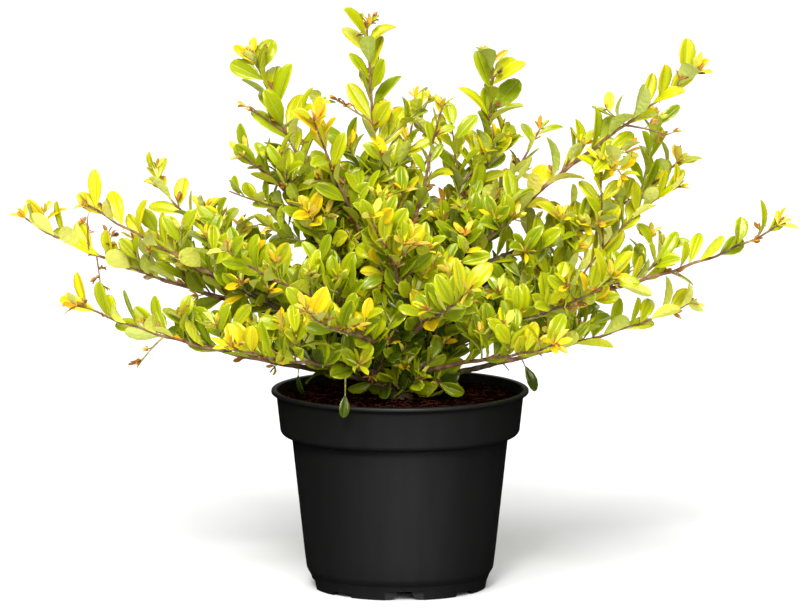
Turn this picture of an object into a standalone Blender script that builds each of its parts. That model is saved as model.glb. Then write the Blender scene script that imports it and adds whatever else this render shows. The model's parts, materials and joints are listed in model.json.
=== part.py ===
"""Potted japanese holly: a low, wide, golden-leaved shrub in a black nursery container.

Metres throughout. The origin is the middle of the pot's underside, +Z is up and the plant's
front is towards -Y. Bearings are degrees round the pot, 0 to the plant's right (+X), 90 behind.
"""
import math
import random
from collections import namedtuple

import bmesh
import bpy
from mathutils import Vector
from mathutils.bvhtree import BVHTree
from mathutils.kdtree import KDTree

# Driving sizes
GAP = 0.0003
POT_SEGMENTS = 40
POT_HEIGHT = 0.1475
RIM_RADIUS = 0.095
BODY_TOP_RADIUS = 0.0800
BODY_FOOT_RADIUS = 0.0692
BASE_RADIUS = 0.0640
WALL = 0.0012
SOIL_TOP = 0.1413

# Pot levels, from the ground up
RECESS_UNDER_FLOOR = 0.0074
FOOT_RING_WIDTH = 0.0046
FLOOR_TOP = 0.0090
RING_TOP = 0.0075
CHAMFER_TOP = 0.0145
BAND_FOOT = 0.1136
BAND_RADIUS_LOW = 0.0884
BAND_RADIUS_HIGH = 0.0916
BAND_CORNER = 0.0046
BAND_UNDERCUT = 0.0030
BAND_STEP = 0.0012
LIP_HEIGHT = 0.0031
LIP_ROUND = 0.0006
LIP_TOP_WIDTH = 0.0022
FOOT_DRAFT = 0.0014
FOOT_BEND = 0.0015
FLOOR_BEND = 0.0030

# Drainage notches in the pot's foot ring
NOTCH_COUNT = 8
NOTCH_FIRST_BEARING = -87.0
WIDE_NOTCH_WIDTH = 0.0290
WIDE_NOTCH_HEIGHT = 0.0069
SMALL_NOTCH_WIDTH = 0.0180
SMALL_NOTCH_HEIGHT = 0.0030
NOTCH_THROAT_WIDTH = 0.0106
NOTCH_THROAT_HEIGHT = 0.0066
NOTCH_POCKET_DEPTH = 0.0026
NOTCH_REACH = 0.0120
NOTCH_BELOW_GROUND = 0.0020

# Soil
SOIL_RINGS = 5
SOIL_BUMP = 0.0012
SOIL_FLAT_RADIUS = 0.0140
SOIL_EDGE_DROP = 0.0004

# Trunk
TRUNK_SIDES = 10
TRUNK_RINGS = 8
TRUNK_HEIGHT = 0.0460
TRUNK_FOOT_RADIUS = 0.0088
TRUNK_WAIST_RADIUS = 0.0066
TRUNK_FORK_RADIUS = 0.0056
TRUNK_FLARE_HEIGHT = 0.0100
TRUNK_LEAN = 0.0020

# Limbs: where each leaves its parent (share of the parent's length), the place of its tip
# (bearing, reach from the pot's middle, height above the ground), how steeply it starts and
# ends (degrees above level), the share of it that is bare, and its radius where it starts.
Limb = namedtuple("Limb", "name parent share bearing reach height rise tip_rise bare radius")
LIMBS = [
    Limb("left_long", "trunk", 0.42, 172, 0.280, 0.268, 31, 31, 0.38, 0.0030),
    Limb("left_front", "left_long", 0.20, 195, 0.235, 0.292, 30, 33, 0.38, 0.0024),
    Limb("left_back", "left_long", 0.32, 158, 0.192, 0.288, 44, 42, 0.30, 0.0021),
    Limb("left_low", "trunk", 0.18, 190, 0.240, 0.216, 12, 24, 0.38, 0.0026),
    Limb("upper_left", "trunk", 0.64, 160, 0.112, 0.384, 62, 66, 0.36, 0.0028),
    Limb("left_middle", "upper_left", 0.26, 188, 0.116, 0.322, 44, 32, 0.26, 0.0021),
    Limb("centre_left", "upper_left", 0.16, 222, 0.084, 0.352, 74, 54, 0.30, 0.0022),
    Limb("top_centre", "trunk", 0.97, 150, 0.028, 0.412, 80, 84, 0.34, 0.0030),
    Limb("centre_right", "top_centre", 0.16, 330, 0.036, 0.358, 66, 72, 0.30, 0.0022),
    Limb("upper_right", "trunk", 0.80, 28, 0.076, 0.386, 56, 94, 0.32, 0.0026),
    Limb("right_upper", "upper_right", 0.24, 38, 0.132, 0.330, 40, 52, 0.30, 0.0021),
    Limb("right_high", "trunk", 0.54, 353, 0.218, 0.385, 63, 37, 0.38, 0.0032),
    Limb("right_middle", "right_high", 0.24, 10, 0.208, 0.312, 24, 46, 0.34, 0.0024),
    Limb("right_long", "trunk", 0.34, 0, 0.278, 0.268, 34, 29, 0.36, 0.0030),
    Limb("right_low", "trunk", 0.16, 9, 0.216, 0.206, 14, 24, 0.32, 0.0026),
    Limb("front_right", "right_long", 0.24, 324, 0.190, 0.246, 22, 34, 0.28, 0.0021),
    Limb("front_right_low", "trunk", 0.20, 312, 0.166, 0.198, 26, 18, 0.25, 0.0024),
    Limb("front_middle", "trunk", 0.52, 284, 0.200, 0.248, 46, 28, 0.24, 0.0027),
    Limb("front_upper", "front_middle", 0.22, 262, 0.150, 0.296, 60, 44, 0.26, 0.0021),
    Limb("front_left", "trunk", 0.34, 250, 0.196, 0.232, 38, 24, 0.24, 0.0026),
    Limb("front_left_low", "trunk", 0.27, 230, 0.188, 0.200, 20, 20, 0.25, 0.0024),
    Limb("front_left_high", "front_left", 0.20, 224, 0.172, 0.266, 52, 38, 0.26, 0.0020),
    Limb("back_left_low", "trunk", 0.20, 140, 0.212, 0.228, 24, 26, 0.28, 0.0026),
    Limb("back_left", "trunk", 0.44, 114, 0.194, 0.292, 54, 34, 0.28, 0.0028),
    Limb("back_middle", "trunk", 0.30, 88, 0.198, 0.240, 32, 26, 0.27, 0.0026),
    Limb("back_right", "trunk", 0.46, 62, 0.194, 0.284, 50, 34, 0.28, 0.0028),
    Limb("back_right_low", "trunk", 0.22, 42, 0.206, 0.230, 26, 26, 0.28, 0.0026),
    Limb("back_high", "back_left", 0.20, 84, 0.108, 0.350, 66, 58, 0.28, 0.0022),
]
LIMB_TIP_RADIUS = 0.0007
LIMB_TAPER = 1.3
LIMB_HANDLE = 0.36
LIMB_SWAY = 0.0030
LIMB_WAVES = (1.4, 2.4)
LIMB_SIDES = 6
LIMB_RING_STEP = 0.020
PATH_STEPS = 40
PATH_PROBE = 0.01

# Foliage: leaf and twig sizes, and how they stand on their stems (angles in degrees)
STEM_SIDES = 3
STEM_RING_STEP = 0.022
LEAF_STEP = 0.0165
FIRST_LEAF = 0.06
LAST_LEAF = 0.97
LEAF_LENGTH = 0.0275
LEAF_WIDTH = 0.0170
LEAF_WIDEST = 0.56
LEAF_THICKNESS = 0.0008
LEAF_CUP = 0.0013
LEAF_TIP_DIP = 0.6
LEAF_SIZES = (0.82, 1.12)
LEAF_LIFTS = (0.35, 1.1)
LEAF_SPIRAL = 137.5
LEAF_SPREAD = 50.0
LEAF_TWIST = 60.0
TIP_LEAVES = 3
TIP_LEAF_PLACE = 0.985
TIP_LEAF_SIZE = 0.86
TIP_LEAF_LEAN = 0.6
TWIG_STEP = 0.044
TWIG_LENGTH = 0.038
TWIG_LENGTHS = (0.7, 1.15)
TWIG_RADIUS = 0.0009
TWIG_TAPER = 0.35
TWIG_RISE = 0.22
TWIG_RINGS = 3
TWIG_SPREAD = 50.0
TWIG_TURNS = (-25.0, 55.0)
TWIG_LEAF_STEP = 0.0180
TWIG_FIRST_LEAF = 0.35

# Clearances between foliage and what stands round it
TWIG_SINK = 0.0003
CLEARANCE = 0.0004
CLEAR_TWIG_FOOT = 0.20
CLEAR_LEAF_FOOT = 0.24
KEPT_LEAF_FOOT = 0.12
SPACE_SAMPLE_STEP = 0.006


# Small helpers
def heading(bearing, rise):
    """The direction with this bearing round the pot and this rise above level, in degrees."""
    flat = math.cos(math.radians(rise))
    around = math.radians(bearing)
    return Vector((flat * math.cos(around), flat * math.sin(around), math.sin(math.radians(rise))))


def across(direction):
    """A level direction at right angles to this one."""
    side = direction.cross(Vector((0.0, 0.0, 1.0)))
    if side.length < 1e-6:
        return Vector((1.0, 0.0, 0.0))
    return side.normalized()


def tilted(direction, side, degrees):
    """The direction turned this far towards a side at right angles to it."""
    turn = math.radians(degrees)
    return (direction * math.cos(turn) + side * math.sin(turn)).normalized()


def make_material(name, colour, roughness):
    material = bpy.data.materials.new(name)
    material.use_nodes = True
    shader = material.node_tree.nodes["Principled BSDF"]
    shader.inputs["Base Color"].default_value = (*colour, 1.0)
    shader.inputs["Roughness"].default_value = roughness
    return material


def add_object(name, shape, material=None, collection=None):
    """An object from a (points, faces) pair."""
    mesh = bpy.data.meshes.new(name)
    mesh.from_pydata([tuple(point) for point in shape[0]], [], shape[1])
    mesh.update()
    made = bpy.data.objects.new(name, mesh)
    (collection or bpy.context.scene.collection).objects.link(made)
    if material:
        mesh.materials.append(material)
    return made


def shade_smooth(made):
    for face in made.data.polygons:
        face.use_smooth = True


def apply_boolean(target, operation, cutter=None, collection=None):
    """Applies one Boolean to an object and removes what it was joined to or cut by."""
    modifier = target.modifiers.new("fit", "BOOLEAN")
    modifier.operation = operation
    modifier.solver = "EXACT"
    if collection:
        modifier.operand_type = "COLLECTION"
        modifier.collection = collection
    else:
        cutter.hide_render = True
        cutter.display_type = "WIRE"
        modifier.object = cutter
    graph = bpy.context.evaluated_depsgraph_get()
    joined = bpy.data.meshes.new_from_object(target.evaluated_get(graph))
    target.modifiers.clear()
    target.data = joined
    for used in list(collection.objects) if collection else [cutter]:
        bpy.data.objects.remove(used)
    if collection:
        bpy.data.collections.remove(collection)


def keep_main_body(made):
    """Fills sealed hollows and drops loose scraps: only the largest closed shell stays."""
    cloth = bmesh.new()
    cloth.from_mesh(made.data)
    waiting = set(cloth.verts)
    shells = []
    while waiting:
        shell = {waiting.pop()}
        edge_of_shell = list(shell)
        while edge_of_shell:
            corner = edge_of_shell.pop()
            near = {edge.other_vert(corner) for edge in corner.link_edges} - shell
            shell |= near
            edge_of_shell.extend(near)
        waiting -= shell
        shells.append(shell)
    shells.sort(key=len)
    for shell in shells[:-1]:
        bmesh.ops.delete(cloth, geom=list(shell), context="VERTS")
    cloth.to_mesh(made.data)
    cloth.free()


# Pot
def pot_inside():
    """The pot's inner wall in half-section, from under its lip down to the middle of its floor."""
    floor_radius = BODY_FOOT_RADIUS - WALL * 2.0
    return [
        (BAND_RADIUS_HIGH - WALL, POT_HEIGHT - FLOOR_BEND),
        (BAND_RADIUS_LOW - WALL, BAND_FOOT + BAND_CORNER + BAND_STEP),
        (BODY_TOP_RADIUS - WALL, BAND_FOOT + WALL),
        (floor_radius, FLOOR_TOP + FLOOR_BEND),
        (floor_radius - FLOOR_BEND, FLOOR_TOP),
        (0.0, FLOOR_TOP),
    ]


def pot_outline():
    """Half-section of the pot, from the middle of its underside round to the middle of its floor."""
    lip_foot = POT_HEIGHT - LIP_HEIGHT
    ring_inside = BASE_RADIUS - FOOT_RING_WIDTH
    outside = [
        (0.0, RECESS_UNDER_FLOOR),
        (ring_inside - FOOT_DRAFT, RECESS_UNDER_FLOOR),
        (ring_inside, 0.0),
        (BASE_RADIUS, 0.0),
        (BASE_RADIUS + FOOT_DRAFT, RING_TOP),
        (BODY_FOOT_RADIUS - FOOT_BEND / 2.0, CHAMFER_TOP - FOOT_BEND),
        (BODY_FOOT_RADIUS, CHAMFER_TOP + FOOT_BEND),
        (BODY_TOP_RADIUS, BAND_FOOT),
        (BAND_RADIUS_LOW - BAND_UNDERCUT, BAND_FOOT + BAND_STEP),
        (BAND_RADIUS_LOW, BAND_FOOT + BAND_CORNER),
        (BAND_RADIUS_HIGH, lip_foot),
        (RIM_RADIUS - LIP_ROUND, lip_foot + LIP_ROUND),
        (RIM_RADIUS, lip_foot + LIP_ROUND * 2.0),
        (RIM_RADIUS - LIP_ROUND, POT_HEIGHT - LIP_ROUND),
        (RIM_RADIUS - LIP_TOP_WIDTH, POT_HEIGHT),
        (BAND_RADIUS_HIGH - WALL + LIP_ROUND, POT_HEIGHT - LIP_ROUND),
    ]
    return outside + pot_inside()


def revolved(outline, segments):
    """A closed solid of revolution from a half-section that starts and ends on the axis."""
    points = [Vector((0.0, 0.0, outline[0][1]))]
    for radius, level in outline[1:-1]:
        for step in range(segments):
            turn = 2.0 * math.pi * step / segments
            points.append(Vector((radius * math.cos(turn), radius * math.sin(turn), level)))
    points.append(Vector((0.0, 0.0, outline[-1][1])))
    faces = []
    rings = len(outline) - 2
    last = len(points) - 1
    for step in range(segments):
        after = (step + 1) % segments
        faces.append((0, 1 + after, 1 + step))
        for ring in range(rings - 1):
            low = 1 + ring * segments
            high = low + segments
            faces.append((low + step, low + after, high + after, high + step))
        top = 1 + (rings - 1) * segments
        faces.append((top + step, top + after, last))
    return points, faces


def notch_cutter(name, bearing, width, height, from_radius, to_radius):
    """A block across the foot ring, between two radii, that opens downwards."""
    outward = heading(bearing, 0.0)
    side = across(outward)
    points = []
    for level in (-NOTCH_BELOW_GROUND, height):
        for radius in (from_radius, to_radius):
            for half in (-width / 2.0, width / 2.0):
                points.append(outward * radius + side * half + Vector((0.0, 0.0, level)))
    faces = [(2, 3, 1, 0), (5, 7, 6, 4), (1, 5, 4, 0), (6, 7, 3, 2), (4, 6, 2, 0), (3, 7, 5, 1)]
    return add_object(name, (points, faces))


def make_pot(material):
    pot = add_object("pot", revolved(pot_outline(), POT_SEGMENTS), material)
    pocket_radius = BASE_RADIUS - NOTCH_POCKET_DEPTH
    inside = BASE_RADIUS - NOTCH_REACH
    outside = BASE_RADIUS + NOTCH_REACH
    for index in range(NOTCH_COUNT):
        bearing = NOTCH_FIRST_BEARING + index * 360.0 / NOTCH_COUNT
        if index % 2 == 0:
            pocket = notch_cutter("pocket", bearing, WIDE_NOTCH_WIDTH, WIDE_NOTCH_HEIGHT,
                                  pocket_radius, outside)
            apply_boolean(pot, "DIFFERENCE", pocket)
            throat = notch_cutter("throat", bearing, NOTCH_THROAT_WIDTH, NOTCH_THROAT_HEIGHT,
                                  inside, outside)
            apply_boolean(pot, "DIFFERENCE", throat)
        else:
            notch = notch_cutter("notch", bearing, SMALL_NOTCH_WIDTH, SMALL_NOTCH_HEIGHT,
                                 inside, outside)
            apply_boolean(pot, "DIFFERENCE", notch)
    return pot


# Soil
def make_soil(material):
    """Potting soil that fills the pot to just under its lip, with a crumbly top."""
    chance = random.Random(5)
    side = []
    for radius, level in reversed(pot_inside()[:-1]):
        side.append((radius - GAP * 1.5, level + GAP if level < BAND_FOOT else level))
    top_radius = side[-1][0] - SOIL_EDGE_DROP
    side[-1] = (top_radius, SOIL_TOP - SOIL_EDGE_DROP)
    outline = [(0.0, FLOOR_TOP + GAP)] + side
    for ring in range(1, SOIL_RINGS):
        share = 1.0 - ring / SOIL_RINGS
        outline.append((top_radius * share, SOIL_TOP))
    outline.append((0.0, SOIL_TOP))
    points, faces = revolved(outline, POT_SEGMENTS)
    for point in points:
        radius = math.hypot(point.x, point.y)
        if point.z == SOIL_TOP and radius > SOIL_FLAT_RADIUS:
            point.z += chance.uniform(-SOIL_BUMP, SOIL_BUMP)
    return add_object("soil", (points, faces), material)


# Trunk and limbs
def trunk_point(share):
    """A point on the trunk's leaning middle line, from the ground (0) to its fork (1)."""
    base = SOIL_TOP + GAP
    return Vector((-TRUNK_LEAN * share ** 1.5, TRUNK_LEAN * 0.3 * share, base + TRUNK_HEIGHT * share))


def trunk_radius(share):
    flare_share = TRUNK_FLARE_HEIGHT / TRUNK_HEIGHT
    flare = max(0.0, 1.0 - share / flare_share) ** 2
    shaft = TRUNK_WAIST_RADIUS + (TRUNK_FORK_RADIUS - TRUNK_WAIST_RADIUS) * share
    return shaft + (TRUNK_FOOT_RADIUS - TRUNK_WAIST_RADIUS) * flare


class Path:
    """A limb's middle line and taper. Shares run from 0 where it starts to 1 at its tip."""

    def __init__(self, point, radius):
        self.point = point
        self.radius = radius
        steps = [point(step / PATH_STEPS) for step in range(PATH_STEPS + 1)]
        self.length = sum((b - a).length for a, b in zip(steps, steps[1:]))

    def direction(self, share):
        before = self.point(max(share - PATH_PROBE, 0.0))
        after = self.point(min(share + PATH_PROBE, 1.0))
        return (after - before).normalized()


def limb_path(limb, start, seed):
    """A cubic curve from the start to the limb's tip, with a slight sideways sway."""
    tip = heading(limb.bearing, 0.0) * limb.reach + Vector((0.0, 0.0, limb.height))
    run = tip - start
    bearing = math.degrees(math.atan2(run.y, run.x))
    handle = run.length * LIMB_HANDLE
    leave = start + heading(bearing, limb.rise) * handle
    arrive = tip - heading(bearing, limb.tip_rise) * handle
    side = across(run)
    chance = random.Random(seed)
    phase = chance.uniform(0.0, math.pi)
    waves = chance.uniform(*LIMB_WAVES)

    def point(share):
        rest = 1.0 - share
        place = start * rest ** 3 + leave * (3.0 * rest ** 2 * share)
        place += arrive * (3.0 * rest * share ** 2) + tip * share ** 3
        sway = LIMB_SWAY * math.sin(phase + waves * math.pi * share) * share * rest * 4.0
        return place + side * sway

    def radius(share):
        return LIMB_TIP_RADIUS + (limb.radius - LIMB_TIP_RADIUS) * max(0.0, 1.0 - share) ** LIMB_TAPER

    return Path(point, radius)


def all_paths():
    """The trunk's path and every limb's, each limb starting inside its parent."""
    paths = {"trunk": Path(trunk_point, trunk_radius)}
    for index, limb in enumerate(LIMBS):
        start = paths[limb.parent].point(limb.share)
        paths[limb.name] = limb_path(limb, start, index)
    return paths


def tube(path, first, last, rings, sides, extra=0.0):
    """A tapering solid round a path between two shares, this much thicker than the path says."""
    points = []
    side = across(path.direction(first))
    for ring in range(rings):
        share = first + (last - first) * ring / (rings - 1)
        along = path.direction(share)
        side = (side - along * side.dot(along)).normalized()
        up = side.cross(along)
        radius = path.radius(share) + extra
        for step in range(sides):
            turn = 2.0 * math.pi * step / sides
            points.append(path.point(share) + (side * math.cos(turn) + up * math.sin(turn)) * radius)
    faces = [tuple(range(sides))]
    for ring in range(rings - 1):
        low = ring * sides
        for step in range(sides):
            after = (step + 1) % sides
            faces.append((low + after, low + step, low + sides + step, low + sides + after))
    faces.append(tuple(reversed(range((rings - 1) * sides, rings * sides))))
    return points, faces


def ring_count(path, first, last, step):
    return max(2, round(path.length * (last - first) / step) + 1)


def bough_tube(limb, paths, extra=0.0):
    """The bare part of a limb, or of the trunk when no limb is given."""
    if limb is None:
        return tube(paths["trunk"], 0.0, 1.0, TRUNK_RINGS, TRUNK_SIDES, extra)
    path = paths[limb.name]
    rings = ring_count(path, 0.0, limb.bare, LIMB_RING_STEP)
    return tube(path, 0.0, limb.bare, rings, LIMB_SIDES, extra)


def make_trunk(paths, material):
    trunk = add_object("trunk", bough_tube(None, paths), material)
    for corner in trunk.data.vertices[:TRUNK_SIDES]:
        corner.co.z = SOIL_TOP + GAP
    shade_smooth(trunk)
    return trunk


def parent_room(limb, paths):
    """The space that a limb leaves clear round its parent: the parent, thicker by the gap."""
    parent = next((other for other in LIMBS if other.name == limb.parent), None)
    sides = LIMB_SIDES if parent else TRUNK_SIDES
    points, faces = bough_tube(parent, paths, GAP / math.cos(math.pi / sides))
    end_direction = paths[limb.parent].direction(parent.bare if parent else 1.0)
    for corner in range(len(points) - sides, len(points)):
        points[corner] += end_direction * GAP
    return points, faces


def make_bough(limb, paths, material):
    """The bare part of a limb, cut to stand clear of the parent that it leaves."""
    bough = add_object("bough_" + limb.name, bough_tube(limb, paths), material)
    apply_boolean(bough, "DIFFERENCE", add_object("parent_room", parent_room(limb, paths)))
    keep_main_body(bough)
    shade_smooth(bough)
    return bough


# Foliage
def leaf_shape(root, along, face, size, grow=0.0, cut=0.0):
    """An eight-faced leaf: pointed at both ends, widest past its middle, its edges turned up."""
    length = LEAF_LENGTH * size + grow
    width = LEAF_WIDTH * size + grow * 2.0
    side = along.cross(face).normalized()
    middle = root + along * length * LEAF_WIDEST
    raised = face * LEAF_CUP * size
    thick = LEAF_THICKNESS / 2.0 + grow
    points = [
        root + along * length * cut,
        middle + side * width / 2.0 + raised,
        root + along * length - face * LEAF_CUP * size * LEAF_TIP_DIP,
        middle - side * width / 2.0 + raised,
        middle + face * thick,
        middle - face * thick,
    ]
    faces = []
    for corner in range(4):
        after = (corner + 1) % 4
        faces.append((corner, after, 4))
        faces.append((after, corner, 5))
    return points, faces


def leaf_pose(stem_direction, turn, lift, twist):
    """Where a leaf points and where its upper face looks, from its place round the stem."""
    side = across(stem_direction)
    up = side.cross(stem_direction)
    outward = side * math.cos(turn) + up * math.sin(turn)
    along = tilted(stem_direction, outward, LEAF_SPREAD)
    along = (along + Vector((0.0, 0.0, lift))).normalized()
    face = stem_direction * 0.5 + Vector((0.0, 0.0, 0.6)) - outward * 0.4
    face = (face - along * face.dot(along)).normalized()
    return along, tilted(face, along.cross(face), twist)


class Crown:
    """What already stands in the crown, and whose space each place is in."""

    def __init__(self, standing, paths):
        self.trees = []
        for made in standing:
            self.add([made.matrix_world @ corner.co for corner in made.data.vertices],
                     [tuple(face.vertices) for face in made.data.polygons])
        samples = []
        for index, limb in enumerate(LIMBS):
            path = paths[limb.name]
            count = ring_count(path, limb.bare, 1.0, SPACE_SAMPLE_STEP)
            for step in range(count):
                share = limb.bare + (1.0 - limb.bare) * step / (count - 1)
                samples.append((path.point(share), index))
        self.spaces = KDTree(len(samples))
        self.owners = [owner for _, owner in samples]
        for number, (place, _) in enumerate(samples):
            self.spaces.insert(place, number)
        self.spaces.balance()
        self.stems = {}

    def add(self, points, faces):
        middle = sum(points, Vector()) / len(points)
        radius = max((point - middle).length for point in points)
        self.trees.append((BVHTree.FromPolygons(points, faces), middle, radius))

    def in_space(self, place, owner):
        return self.owners[self.spaces.find(place)[1]] == owner

    def touches(self, shape, skip=()):
        points, faces = shape
        middle = sum(points, Vector()) / len(points)
        radius = max((point - middle).length for point in points)
        tree = BVHTree.FromPolygons(points, faces)
        for number, (other, other_middle, other_radius) in enumerate(self.trees):
            if number in skip or (middle - other_middle).length > radius + other_radius:
                continue
            if tree.overlap(other):
                return True
        return False


def twig_path(start, along, length):
    """A short twig that curves upwards."""
    bend = Vector((0.0, 0.0, length * TWIG_RISE))

    def point(share):
        return start + along * length * share + bend * share ** 2

    def radius(share):
        return TWIG_RADIUS * (1.0 - TWIG_TAPER * share)

    return Path(point, radius)


def leaf_places(path, first, last, step, chance):
    """Shares and turns of the leaves along a stem, on a spiral, with a tuft at its tip."""
    count = max(1, round(path.length * (last - first) / step))
    turn = chance.uniform(0.0, 2.0 * math.pi)
    for number in range(count):
        share = first + (last - first) * (number + 0.5) / count
        yield share, turn, False
        turn += math.radians(LEAF_SPIRAL)
    for number in range(TIP_LEAVES):
        yield TIP_LEAF_PLACE, turn + number * 2.0 * math.pi / TIP_LEAVES, True


def grow_leaves(path, first, step, owner, own_number, crown, chance, collection):
    """Adds every leaf of a stem that stays in its own space and touches nothing else."""
    for share, turn, at_tip in leaf_places(path, first, LAST_LEAF, step, chance):
        stem_direction = path.direction(share)
        size = chance.uniform(*LEAF_SIZES) * (TIP_LEAF_SIZE if at_tip else 1.0)
        twist = chance.uniform(-LEAF_TWIST, LEAF_TWIST)
        along, face = leaf_pose(stem_direction, turn, chance.uniform(*LEAF_LIFTS), twist)
        if at_tip:
            along = (along + stem_direction * TIP_LEAF_LEAN).normalized()
            face = (face - along * face.dot(along)).normalized()
        root = path.point(share) - along * TWIG_SINK
        tip = root + along * LEAF_LENGTH * size
        if not crown.in_space(tip, owner):
            continue
        if crown.touches(leaf_shape(root, along, face, size, CLEARANCE), skip=(own_number,)):
            continue
        if crown.touches(leaf_shape(root, along, face, size, CLEARANCE, CLEAR_LEAF_FOOT)):
            continue
        shape = leaf_shape(root, along, face, size)
        crown.add(leaf_shape(root, along, face, size, 0.0, KEPT_LEAF_FOOT)[0], shape[1])
        add_object("leaf", shape, None, collection)


def grow_twigs(limb, path, owner, crown, chance, collection):
    """Side twigs on alternate sides of the stem, shorter towards its tip, each with leaves."""
    first = limb.bare
    count = round(path.length * (1.0 - first) / TWIG_STEP)
    for number in range(count):
        share = first + (1.0 - first) * (number + 0.55) / (count + 0.4)
        stem_direction = path.direction(share)
        side = across(stem_direction) * (1 if number % 2 else -1)
        up = across(stem_direction).cross(stem_direction)
        outward = tilted(side, up, chance.uniform(*TWIG_TURNS))
        along = tilted(stem_direction, outward, TWIG_SPREAD)
        length = TWIG_LENGTH * chance.uniform(*TWIG_LENGTHS) * (1.15 - 0.5 * number / count)
        twig = twig_path(path.point(share) - along * TWIG_SINK, along, length)
        if not crown.in_space(twig.point(1.0), owner):
            continue
        wide = tube(twig, CLEAR_TWIG_FOOT, 1.0, TWIG_RINGS, STEM_SIDES, CLEARANCE)
        if crown.touches(wide):
            continue
        shape = tube(twig, 0.0, 1.0, TWIG_RINGS, STEM_SIDES)
        own_number = len(crown.trees)
        crown.add(*shape)
        add_object("twig", shape, None, collection)
        grow_leaves(twig, TWIG_FIRST_LEAF, TWIG_LEAF_STEP, owner, own_number, crown, chance, collection)


def make_mass(owner, limb, path, crown, material):
    """One mass of foliage: a stem that carries on from the bough, with twigs and leaves."""
    chance = random.Random(100 + owner)
    first = limb.bare + GAP / path.length
    rings = ring_count(path, first, 1.0, STEM_RING_STEP)
    shape = tube(path, first, 1.0, rings, STEM_SIDES)
    mass = add_object("foliage_" + limb.name, shape, material)
    own_number = crown.stems[limb.name]
    pieces = bpy.data.collections.new("pieces")
    bpy.context.scene.collection.children.link(pieces)
    grow_twigs(limb, path, owner, crown, chance, pieces)
    grow_leaves(path, limb.bare + FIRST_LEAF, LEAF_STEP, owner, own_number, crown, chance, pieces)
    apply_boolean(mass, "UNION", collection=pieces)
    keep_main_body(mass)
    return mass


def add_stems(crown, paths):
    """Counts every stem as standing before any leaf grows, so that none grows through one."""
    for limb in LIMBS:
        path = paths[limb.name]
        crown.stems[limb.name] = len(crown.trees)
        rings = ring_count(path, limb.bare, 1.0, STEM_RING_STEP)
        crown.add(*tube(path, limb.bare, 1.0, rings, STEM_SIDES))


def main():
    for old in list(bpy.data.objects):
        bpy.data.objects.remove(old)
    black = make_material("black_plastic", (0.012, 0.012, 0.012), 0.45)
    earth = make_material("potting_soil", (0.030, 0.014, 0.009), 0.95)
    bark = make_material("bark", (0.250, 0.130, 0.080), 0.80)
    leaves = make_material("golden_leaves", (0.420, 0.480, 0.050), 0.45)
    paths = all_paths()
    pot = make_pot(black)
    soil = make_soil(earth)
    trunk = make_trunk(paths, bark)
    boughs = [make_bough(limb, paths, bark) for limb in LIMBS]
    crown = Crown([pot, soil, trunk] + boughs, paths)
    add_stems(crown, paths)
    for owner, limb in enumerate(LIMBS):
        make_mass(owner, limb, paths[limb.name], crown, leaves)


main()
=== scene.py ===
import json
import random
from collections import namedtuple
from itertools import product
from math import asin, atan2, cos, degrees, exp, hypot, pi, radians, sin, sqrt

import bpy
import numpy as np
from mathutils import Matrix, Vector, noise
from mathutils.kdtree import KDTree

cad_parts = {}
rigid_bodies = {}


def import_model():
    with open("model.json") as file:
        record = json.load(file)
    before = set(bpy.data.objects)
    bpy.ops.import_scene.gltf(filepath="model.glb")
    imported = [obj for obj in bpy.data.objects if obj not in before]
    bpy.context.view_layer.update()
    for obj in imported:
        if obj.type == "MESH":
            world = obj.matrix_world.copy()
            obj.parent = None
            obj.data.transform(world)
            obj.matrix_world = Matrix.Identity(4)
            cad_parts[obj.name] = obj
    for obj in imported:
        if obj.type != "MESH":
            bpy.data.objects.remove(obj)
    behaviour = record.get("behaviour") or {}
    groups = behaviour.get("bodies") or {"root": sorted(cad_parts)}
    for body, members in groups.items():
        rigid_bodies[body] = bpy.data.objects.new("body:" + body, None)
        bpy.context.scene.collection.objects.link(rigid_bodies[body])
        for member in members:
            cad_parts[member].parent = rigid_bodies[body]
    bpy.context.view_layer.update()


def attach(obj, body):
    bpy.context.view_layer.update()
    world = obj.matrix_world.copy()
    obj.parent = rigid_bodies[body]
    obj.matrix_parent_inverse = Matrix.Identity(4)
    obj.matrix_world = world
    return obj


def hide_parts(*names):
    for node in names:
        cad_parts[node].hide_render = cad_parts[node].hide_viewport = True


# The looks of the potted japanese holly: a moulded pot, crumbly soil, limbs with bark, and a crown
# of golden and green leaves that grows on from the limbs. Metres; the front is towards -Y.
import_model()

UP = Vector((0.0, 0.0, 1.0))
FULL_TURN = 2.0 * pi

# Camera
PHOTO_WIDTH = 800
PHOTO_PIXEL = 0.0007364
CAMERA_RISE = 8.35
CAMERA_DISTANCE = 6.0
CAMERA_AIM = 0.21
CAMERA_SIGHT = 100.0
SENSOR_WIDTH = 36.0

# Floor and light: each sun's strength, how wide it looks, and the bearing and rise that it shines from
FLOOR_SIZE = 40.0
FLOOR_COLOUR = (0.82, 0.82, 0.82)
SKY_LIGHT = 0.12
SKY_SHOWN = 1.0
SKY_MIRRORED = 0.01
Sun = namedtuple("Sun", "name strength width bearing rise")
SUNS = [
    Sun("key_light", 2.6, 42.0, -110.0, 50.0),
    Sun("front_light", 2.2, 42.0, -78.0, 24.0),
    Sun("sparkle_light", 1.4, 11.0, -98.0, 38.0),
    Sun("back_light", 1.2, 60.0, 80.0, 50.0),
]

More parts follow.
